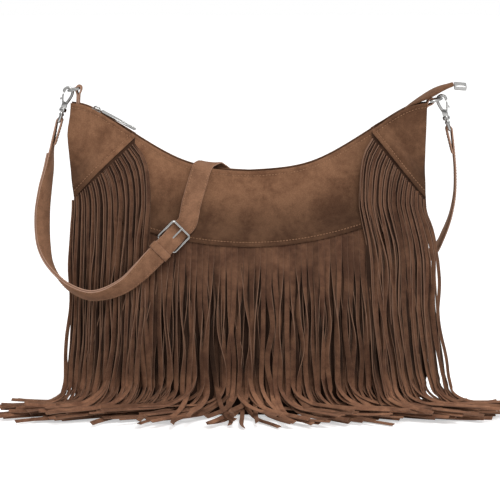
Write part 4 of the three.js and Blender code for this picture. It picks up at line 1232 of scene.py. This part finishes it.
def over_keys():
    bar = eye_bar(ENDS["right"])
    return [
        (vec(bar[0] + STRAP_FOLD, 0, bar[2]), DEPTH),
        (vec(214, 2, 266), DEPTH),
        (vec(215.8, 6, 246), DEPTH),
        (vec(215.8, 11, 222), vec(0, 0.99, 0.1)),
        (vec(212, 18, 198), vec(0, 0.97, 0.2)),
        (vec(206, 26, 179), vec(0, 0.93, 0.35)),
        (vec(198, 35, 161), vec(0.05, 0.85, 0.5)),
        (vec(183, 42, 149), vec(0.15, 0.6, 0.78)),
        (vec(160, 46, 148), vec(0.25, 0.25, 0.93)),
        (vec(130, 48, 156), vec(0.3, 0.05, 0.95)),
        (vec(95, 48, 171), vec(0.36, 0, 0.93)),
        (vec(58, 45.5, 190), vec(0.42, 0, 0.9)),
        (vec(20, 38, 210), vec(0.5, 0, 0.86)),
        (vec(-8, 30, 227), vec(0.65, 0, 0.75)),
        (vec(-24, 22, 240), vec(0.85, 0, 0.45)),
        (vec(-33, 15.5, 249.6), vec(0.97, 0, 0.05)),
        (vec(-39, 7, 256.3), vec(0.98, 0, -0.1)),
        (vec(-45.5, -5, 256.9), vec(0.985, 0, -0.16)),
        (vec(-49, -15.5, 253.6), vec(0.96, 0, -0.2)),
        (vec(-54, -27, 238), vec(0.91, 0, -0.4)),
        (vec(-59.5, -34.5, 219), vec(0.88, 0, -0.45)),
        (at_buckle(HALF_FRAME + 8, -STRAP_FOLD), vec(0.78, 0, -0.6)),
        (at_buckle(HALF_FRAME, -STRAP_FOLD), BUCKLE_ACROSS),
        (at_buckle(5, -STRAP_FOLD), BUCKLE_ACROSS),
        (at_buckle(0.5, 0.6), BUCKLE_ACROSS),
        (at_buckle(-5, STRAP_FOLD + STRAP_LAYER - 0.4), BUCKLE_ACROSS),
    ]


def chained(*stretches):
    return tuple(np.concatenate([s[i] for s in stretches]) for i in range(3))


def trimmed(stretch, start=None, end=None):
    return tuple(part[start:end] for part in stretch)


def turned_end(stretch):
    return tuple(part[::-1] for part in stretch)


def stub(fold, spot, away, length, steps=8):
    """The sewn end of a fold, running on beside the strap."""
    at, side, lift = (part[spot] for part in fold)
    shares = np.linspace(1 / steps, 1, steps)[:, None]
    return at + away * shares * length, np.tile(side, (steps, 1)), np.tile(lift, (steps, 1))


STRAP_SEAM = 8.1


def stitch_row(stretch, across, out, inset=5):
    at, side, lift = (part[inset:-inset] for part in stretch)
    return at + side * across + lift * out


def build_strap():
    """Both halves of the strap; gives the rows where their stitches go."""
    left = ENDS["left"]
    right = ENDS["right"]
    loop = route(loop_keys(), 160, 1)
    left_fold = fold_round(eye_bar(left), DEPTH, vec(1, 0, 0), vec(0, 0, 1))
    heel_fold = fold_round(at_buckle(-HALF_FRAME, 0), BUCKLE_ACROSS, BUCKLE_OUT, BUCKLE_ALONG)
    left_stub = turned_end(stub(left_fold, 0, -hook_frame(**left)[3], FOLD_STUB))
    heel_stub = stub(heel_fold, -1, -BUCKLE_ALONG, FOLD_STUB - 8)
    short = chained(left_stub, trimmed(left_fold, end=-1), loop, trimmed(heel_fold, 1), heel_stub)
    over = route(over_keys(), 304, -1)
    outer = turned_end(trimmed(loop, 16))
    outer = (outer[0] + outer[2] * STRAP_LAYER, outer[1], outer[2])
    right_fold = fold_round(eye_bar(right), DEPTH, vec(-1, 0, 0), vec(0, 0, 1))
    right_stub = turned_end(stub(right_fold, 0, -hook_frame(**right)[3], FOLD_STUB))
    long = chained(right_stub, trimmed(right_fold, end=-1), over, outer)
    for name, stretch in (("strap_short", short), ("strap_long", long)):
        mesh = strips(name, [stretch[0]], [stretch[1]], STRAP_WIDE, STRAP_THICK, STRAP_SUEDE, 0.35)
        add_piece(f"{name}_suede", mesh, None, nodes=[name])
    return strap_stitch_rows(loop, outer, trimmed(over, end=280), left_stub, right_stub)


def strap_stitch_rows(loop, outer, over, left_stub, right_stub):
    surface = STRAP_THICK / 2 + 0.05
    rows = []
    for across in (-STRAP_SEAM, STRAP_SEAM):
        rows.append(stitch_row(loop, across, -surface))
        rows.append(stitch_row(outer, across, surface))
        rows.append(stitch_row(over, across, surface))
        rows.append(stitch_row(left_stub, across, surface, 1))
        rows.append(stitch_row(right_stub, across, surface, 1))
    for fold in (left_stub, right_stub):
        at, side, lift = (part[1] for part in fold)
        shares = np.linspace(-STRAP_SEAM, STRAP_SEAM, 9)
        rows.append(np.array([at + side * share + lift * surface for share in shares]))
    return rows


PIN_WIRE = 1.05
PIN_EYE = 2.4
KEEPER_WIDE = 8
KEEPER_THICK = 1.2
KEEPER_BACK = 9


def build_buckle():
    half = BUCKLE_WIDE / 2 - BUCKLE_WIRE
    path = [at_buckle(a, 0, b) for a, b in rounded_frame(HALF_FRAME, half, 2.4)]
    mesh = mesh_of("frame", tube(path, BUCKLE_WIRE, 16, closed=True, normal=BUCKLE_OUT))
    add_piece("buckle_wire", mesh, NICKEL, nodes=["buckle_frame"])
    keys = [
        at_buckle(-HALF_FRAME + 2.2, 0.9),
        at_buckle(2, WIRE + 1.1),
        at_buckle(HALF_FRAME + 1.4, WIRE + 1.1 + GAP),
    ]
    arm = tube(*round_ended(curve_through(keys, 20), PIN_WIRE), 14)
    turns = np.arange(18) * math.pi / 9
    path = [at_buckle(PIN_EYE * math.cos(t) - HALF_FRAME, PIN_EYE * math.sin(t)) for t in turns]
    eye = tube(path, 0.55, 10, closed=True, normal=BUCKLE_ACROSS, flat=1.8)
    add_piece("buckle_pin", mesh_of("pin", arm, eye), NICKEL, "prong", ["buckle_prong"])


def build_keeper():
    """A narrow band round both layers of the strap, just below the buckle."""
    low = -STRAP_FOLD - STRAP_THICK / 2 - GAP - KEEPER_THICK / 2
    high = STRAP_FOLD + STRAP_LAYER + STRAP_THICK / 2 + 2 * GAP + KEEPER_THICK / 2
    half = STRAP_WIDE / 2 + GAP + KEEPER_THICK / 2
    outline = rounded_frame(half, (high - low) / 2, 1.2)
    ring = [at_buckle(-HALF_FRAME - KEEPER_BACK, out + (low + high) / 2, across) for across, out in outline]
    values = (KEEPER_WIDE, KEEPER_THICK, STRAP_SUEDE, 0.3)
    mesh = strips("keeper", [ring], [BUCKLE_ALONG], *values, closed=True)
    add_piece("keeper_suede", mesh, None, nodes=["strap_keeper"])


STITCH_SUNK = 0.1
FRONT_SEAM_REACH = 160
BACK_SEAM_REACH = 178


def surface_row(x, z, side, step):
    """A row of stitches, sunk a little into the leather."""
    row = np.stack([x, side * (half_depth(x, z) + step(x, z) - STITCH_SUNK), z], -1)
    return slumped((row, []))[0]


def build_stitches(strap_rows):
    rows = []
    for side, reach in ((-1, FRONT_SEAM_REACH), (1, BACK_SEAM_REACH)):
        x = np.linspace(-reach, reach, 200)
        rows.append(surface_row(x, seam_at(x) + STITCH_INSET, side, yoke_step))
        x = np.linspace(-LEFT_EAR_START - 2, RIGHT_EAR_START + 2, 160)
        rows.append(surface_row(x, top_at(x) - STITCH_INSET, side, yoke_step))
        for sign in (-1, 1):
            x = sign * np.linspace(float(ear_start(sign)) + 7, HALF_WIDTH - 2, 60)
            rows.append(surface_row(x, ear_seam_at(x) + STITCH_INSET * math.sqrt(2), side, ear_step))
            rows.append(surface_row(x, top_at(x) - STITCH_INSET, side, ear_step))
    mesh = grown("stitches", STITCHES, rows, {"Material": THREAD})
    add_piece("bag_stitches", mesh, None)
    mesh = grown("strap_stitches", STITCHES, strap_rows, {"Material": THREAD, "Thread": 0.00034})
    add_piece("strap_stitches", mesh, None)


build_zip()
build_slider()
build_puller()
build_zip_tail()
build_tail_clip()
for end_name, end in ENDS.items():
    build_ring(end_name, end["bar"], end["out"])
    build_tab(end_name, end["sign"], end["bar"])
    build_hook(end_name, end)
build_stitches(build_strap())
build_buckle()
build_keeper()


# Fringe: strips that hang from a band, bend at the floor and lie spread out


def hang(x_at, root_z, stand_off, bend_top, steps):
    """The hanging stretch: it follows the belly out and then falls straight."""
    z = mix(root_z, bend_top, np.linspace(0, 1, steps) ** 0.9)
    x = x_at(z)
    inside = np.clip(x, -HALF_WIDTH, HALF_WIDTH)
    reach = np.maximum.accumulate(half_depth(inside, np.maximum(z, bottom_at(inside))) + stand_off(z))
    return np.stack([x, -reach, z], -1)


def strip_path(hanging, heading, run, tail, level, curl, lift_tip):
    """A hanging stretch, a wide bend and the tail on the floor."""
    last = hanging[-1]
    out = vec(math.sin(heading), -math.cos(heading), 0)
    bend = []
    for turn in np.linspace(0, math.pi / 2, 10)[1:]:
        spot = last + out * run * (1 - math.cos(turn))
        spot[2] = level + (last[2] - level) * (1 - math.sin(turn))
        bend.append(spot)
    at = bend[-1].copy()
    tail_points = []
    for share in np.linspace(0, 1, 9)[1:]:
        way = heading + curl * share
        at = at + vec(math.sin(way), -math.cos(way), 0) * tail / 8
        tail_points.append(at + vec(0, 0, lift_tip * share**2))
    return np.concatenate([hanging, bend, tail_points])


def strip_lies(path, hanging_count, heading, first, twist, turns, roll, shut):
    """The way a strip's width lies: it turns as it hangs and leans over on the floor."""
    count = len(path)
    ahead = unit(np.gradient(path, axis=0))
    share = np.clip((np.linspace(0, 1, hanging_count) - shut) / (1 - shut), 0, 1)
    swing = np.sin(math.pi * np.minimum(1, share * 1.1))
    angle = first + twist * swing + turns * math.pi * smooth(share, 0.1, 0.9)
    facing = np.sign(math.cos(turns * math.pi))
    floor_side = facing * vec(math.cos(heading), math.sin(heading), 0) * math.cos(roll)
    floor_side = floor_side + facing * vec(0, 0, math.sin(roll)) * (1 if heading > 0 else -1)
    lies = np.zeros((count, 3))
    lies[:hanging_count] = np.stack([np.cos(angle), np.sin(angle), 0 * angle], -1)
    lies[hanging_count:] = floor_side
    blend = smooth(np.arange(count), hanging_count - 9, hanging_count + 7)[:, None]
    ending = facing * vec(math.cos(heading * 0.5), math.sin(heading * 0.5), 0)
    lies[:hanging_count] = mix(lies[:hanging_count], ending, blend[:hanging_count])
    lies[hanging_count:] = mix(ending, lies[hanging_count:], blend[hanging_count:])
    lies = lies - ahead * np.sum(lies * ahead, 1, keepdims=True)
    return unit(lies)


HANG_STEPS = 26
SIDE_HANG_STEPS = 32
STRAND_WIDE = 5.96
SIDE_STRAND_WIDE = 4.8
STRAND_EDGE = 0.32
BAND_REACH = 162
STRAND_REACH = 158
# Painted light: how much lighter a strip is where it lies on the floor
FLOOR_PAINTED_LIGHT = 1.4

# How far the strips may lie out over the floor
SIDE_ROOM = 268
FRONT_ROOM = 128


def floor_room(last, heading, run, tail):
    """The tail's length, cut short where the strip would lie too far out."""
    ahead = math.cos(heading)
    aside = math.sin(heading)
    side_left = (SIDE_ROOM - chance.uniform(0, 14) - abs(last[0] + aside * run)) / max(0.05, abs(aside))
    front_left = (FRONT_ROOM - chance.uniform(0, 10) + last[1] - ahead * run) / max(0.05, ahead)
    return max(6, min(tail, side_left, front_left))


def snaking(drop, wave, phase):
    """How far across a strip snakes, from -1 to 1, at a drop below its root."""
    return np.sin(drop / wave * WAVE_TURN + phase)


def loose_tip(curl, lift):
    """How much a strip's tip curls aside and lifts off the floor."""
    return chance.normal(0, curl), max(0, chance.normal(0, lift))


def front_strip(x0, layer):
    """One strip of the front; the outer layer starts at the seam and is cut free below it."""
    root = float(seam_at(x0)) - (0.4 if layer == 0 else BAND - 3)
    sway = chance.normal(0, 1.3)
    wave = chance.uniform(70, 140)
    phase = chance.uniform(0, WAVE_TURN)
    drift = chance.normal(0, 3.4)
    if chance.random() < 0.14:
        drift += chance.normal(0, 12)
    bend_top = chance.uniform(22, 42)
    shut = chance.uniform(6, 40) if layer == 0 else 0
    proud = (0.4, 0, 0)[layer]
    loose = chance.uniform(0, 1.6) + (3.6, 1.7, 0)[layer]

    def x_at(z):
        ramp = smooth(root - z, shut * 0.6, shut + 70)
        spread = 1 + 0.05 * (1 - z / root)
        swing = sway * snaking(root - z, wave, phase)
        return x0 * spread + ramp * (drift * (1 - z / root) + swing)

    def stand_off(z):
        return LAYER - LEATHER / 2 + proud + smooth(root - z, 8, 70) * loose

    heading = 1.46 * math.tanh((x0 + chance.normal(0, 22)) / 42) + chance.normal(0, 0.14)
    hanging = hang(x_at, root, stand_off, bend_top, HANG_STEPS)
    run = chance.uniform(24, 48)
    tail = chance.uniform(22, 42) + 22 * abs(math.sin(heading))
    tail = floor_room(hanging[-1], heading, run, tail)
    roll = chance.uniform(0.1, 0.7)
    level = 0.9 + 2.7 * math.sin(roll) + chance.uniform(0, 1) ** 1.3 * 12
    path = strip_path(hanging, heading, run, tail, level, *loose_tip(0.3, 1.5))
    turns = chance.choice([0, 0, 0, 1, -1])
    fall = root - bend_top
    lies = strip_lies(path, HANG_STEPS, heading, 0, chance.normal(0, 0.95), turns, roll, 0.7 * shut / fall)
    drop = root - path[:, 2]
    taper = mix(1.04, chance.uniform(0.76, 0.9), smooth(drop, shut * 0.7, shut + 22))
    return path, lies, taper


LEFT_DRIFT = ([19, 36, 73, 112, 150, 180, 205, 218], [12, 8, 4.8, 3.8, 2.7, 2.2, 0.9, 0])
RIGHT_DRIFT = ([18, 43, 77, 110, 160, 180, 200, 218], [31, 22.5, 17.5, 14, 13.5, 10.5, 5.3, 0])


def side_strip(sign, share, layer):
    """One strip of a side: it hangs turned, so its cut edge shows, and arches out under the ear."""
    start = float(ear_start(sign))
    x0 = mix(HALF_WIDTH - 4, start + 3, share)
    root = float(ear_seam_at(sign * x0)) - BAND * 0.4
    arch = 19 * share if sign < 0 else 15 * share
    drifts = LEFT_DRIFT if sign < 0 else RIGHT_DRIFT
    own = chance.normal(0, 3.0) * (1 if share > 0.1 else 0.4)
    if chance.random() < 0.15 and share > 0.2:
        own += chance.normal(0, 10)
    sway = chance.normal(0, 1.2)
    wave = chance.uniform(80, 150)
    phase = chance.uniform(0, WAVE_TURN)
    bend_top = chance.uniform(22, 42)

    def x_at(z):
        fall = np.clip(1 - z / root, 0, 1)
        drift = np.interp(z, *drifts) * (1 - 0.4 * share) * smooth(root - z, 0, 30)
        arched = x0 - arch * (1 - np.exp((z - root) / 17)) * (1 - 0.6 * fall) + drift + own * fall**1.5
        return sign * arched + sway * smooth(root - z, 20, 90) * snaking(root - z, wave, phase)

    def stand_off(z):
        edge = yoke_step(np.full_like(z, x0 + 2), z)
        below = np.maximum(edge, np.where(z < root - 1, 2 * LAYER + GAP, 0))
        apart = 1.4 * (2 - layer) * smooth(root - z, 2, 30)
        return below + LAYER - LEATHER / 2 + apart + 5 * (1 - smooth(z, 20, 140))

    heading = sign * mix(1.42, 1.1, share) + chance.normal(0, 0.14)
    hanging = hang(x_at, root, stand_off, bend_top, SIDE_HANG_STEPS)
    run = chance.uniform(24, 44)
    tail = floor_room(hanging[-1], heading, run, chance.uniform(26, 60))
    roll = chance.uniform(0.15, 0.75)
    level = 0.9 + 2.3 * math.sin(roll) + chance.uniform(0, 1) ** 1.2 * 13
    path = strip_path(hanging, heading, run, tail, level, *loose_tip(0.2, 2))
    turns = chance.choice([0, 0, 0, 0, sign])
    first = chance.normal(0.75, 0.18)
    lies = strip_lies(path, SIDE_HANG_STEPS, heading, first, chance.normal(0, 0.35), turns, roll, 0)
    taper = np.full(len(path), chance.uniform(0.9, 1.06))
    return path, lies, taper


def fringe_piece(name, band, made, outer, width, node_name):
    """Joins a fringe's strips with their band; the outer strips have a random tone of their own, the inner
    strips painted shade that makes them far darker, and the tails on the floor painted light.
    """
    paths, lies, tapers = zip(*made)
    count = len(paths)
    outer_tones = chance.uniform(0.4, 0.8, count)
    # Painted shade: the inner strips' colour is scaled down to a fifth to a half
    inner_painted_shade = chance.uniform(-0.3, 0, count)
    tones_and_painted_shade = np.where(np.arange(count) < outer, outer_tones, inner_painted_shade)
    # Painted light on the tails lying on the floor
    strands = [tone + FLOOR_PAINTED_LIGHT * (1 - smooth(path[:, 2], 10, 55)) for tone, path in zip(tones_and_painted_shade, paths)]
    values = (width, LEATHER, STRAND_SUEDE, STRAND_EDGE)
    mesh = strips(name, paths, lies, *values, strands=strands, tapers=tapers)
    band_mesh = mesh_of("band", band)
    band_mesh.materials.append(STRAND_SUEDE)
    joint = bmesh.new()
    joint.from_mesh(mesh)
    joint.from_mesh(band_mesh)
    joint.to_mesh(mesh)
    joint.free()
    add_piece(name, smoothed(mesh, 50), None, nodes=[node_name])


def build_front_fringe():
    def low(x):
        return seam_at(x) - BAND

    def high(x):
        return seam_at(x) + SEAM_ALLOWANCE

    def step(x, z):
        return LAYER + 0 * x

    band = body_leather(-1, -BAND_REACH, BAND_REACH, low, high, step, no_step, 160, 10)
    made = []
    for layer, count, gaps, shift in ((0, 54, 53, 0), (1, 53, 53, 0.5), (2, 26, 26, 0.2)):
        for i in range(count):
            x0 = mix(-STRAND_REACH, STRAND_REACH, (i + shift) / gaps)
            made.append(front_strip(min(STRAND_REACH, x0), layer))
    fringe_piece("fringe_front_strips", band, made, 54, STRAND_WIDE, "fringe_front")


def build_side_fringe(name, sign):
    def low(x):
        return ear_seam_at(x) - BAND * 0.7

    def high(x):
        return np.minimum(ear_seam_at(x) + SEAM_ALLOWANCE - 1, top_at(x) - 1)

    def step(x, z):
        return yoke_step(x, z) + LAYER

    start = sign * float(ear_start(sign) + EAR_TIP)
    band = body_leather(-1, start, sign * HALF_WIDTH, low, high, step, no_step, 50, 16)
    made = []
    for layer, count, shift in ((0, 15, 0), (1, 15, 0.5), (2, 7, 0.3)):
        for i in range(count):
            made.append(side_strip(sign, min(1, (i + shift) / (count - 1)), layer))
    fringe_piece(f"{name}_strips", band, made, 15, SIDE_STRAND_WIDE, name)


build_front_fringe()
build_side_fringe("fringe_left", -1)
build_side_fringe("fringe_right", 1)


# Light and floor


def build_studio():
    """An even, pale room that is white where the camera or glass sees it."""
    world = bpy.data.worlds.new("studio")
    bpy.context.scene.world = world
    world.use_nodes = True
    tree = world.node_tree
    tree.nodes.clear()
    path = node(tree, "ShaderNodeLightPath").outputs
    seen = maths(tree, "MAXIMUM", path["Is Camera Ray"], path["Is Transmission Ray"])
    way = node(tree, "ShaderNodeTexCoord").outputs["Generated"]
    height = node(tree, "ShaderNodeSeparateXYZ", {0: way}).outputs["Z"]
    strength = average(tree, seen, eased(tree, height, -0.1, 0.8, 0.18, 0.85), 1.0)
    back = node(tree, "ShaderNodeBackground", {"Color": (1, 1, 1, 1), "Strength": strength})
    node(tree, "ShaderNodeOutputWorld", {"Surface": back.outputs[0]})


FLOOR_HALF = 9
FLOOR_Z = -0.0006


def build_floor():
    """White paper that glows a little for the camera alone and keeps the bag's shadow."""
    material, tree, looks = new_material("paper_floor")
    looks["Base Color"].default_value = (0.9, 0.9, 0.9, 1)
    looks["Roughness"].default_value = 0.9
    path = node(tree, "ShaderNodeLightPath").outputs
    glow = maths(tree, "MULTIPLY", path["Is Camera Ray"], 0.5)
    light = node(tree, "ShaderNodeEmission", {"Strength": glow}).outputs[0]
    paper = tree.nodes["Principled BSDF"].outputs[0]
    both = node(tree, "ShaderNodeAddShader", {0: paper, 1: light}).outputs[0]
    tree.links.new(both, tree.nodes["Material Output"].inputs["Surface"])
    mesh = bpy.data.meshes.new("floor")
    corners = [(x * FLOOR_HALF, y * FLOOR_HALF, FLOOR_Z) for x, y in ((-1, -1), (1, -1), (1, 1), (-1, 1))]
    mesh.from_pydata(corners, [], [(0, 1, 2, 3)])
    mesh.materials.append(material)
    floor = bpy.data.objects.new("floor", mesh)
    bpy.context.scene.collection.objects.link(floor)


LAMP_AIM = Vector((0, 0, 0.15))


def add_lamp(name, place, size, power):
    data = bpy.data.lights.new(name, "AREA")
    data.size = size
    data.energy = power
    lamp = bpy.data.objects.new(name, data)
    lamp.location = place
    lamp.rotation_euler = (Vector(place) - LAMP_AIM).to_track_quat("Z", "Y").to_euler()
    bpy.context.scene.collection.objects.link(lamp)


build_studio()
build_floor()
add_lamp("key", (0.55, -1.2, 2.1), 1.0, 24)
add_lamp("fill", (1.5, -1.8, 0.9), 1.4, 4)
bpy.context.scene.view_settings.view_transform = "Standard"
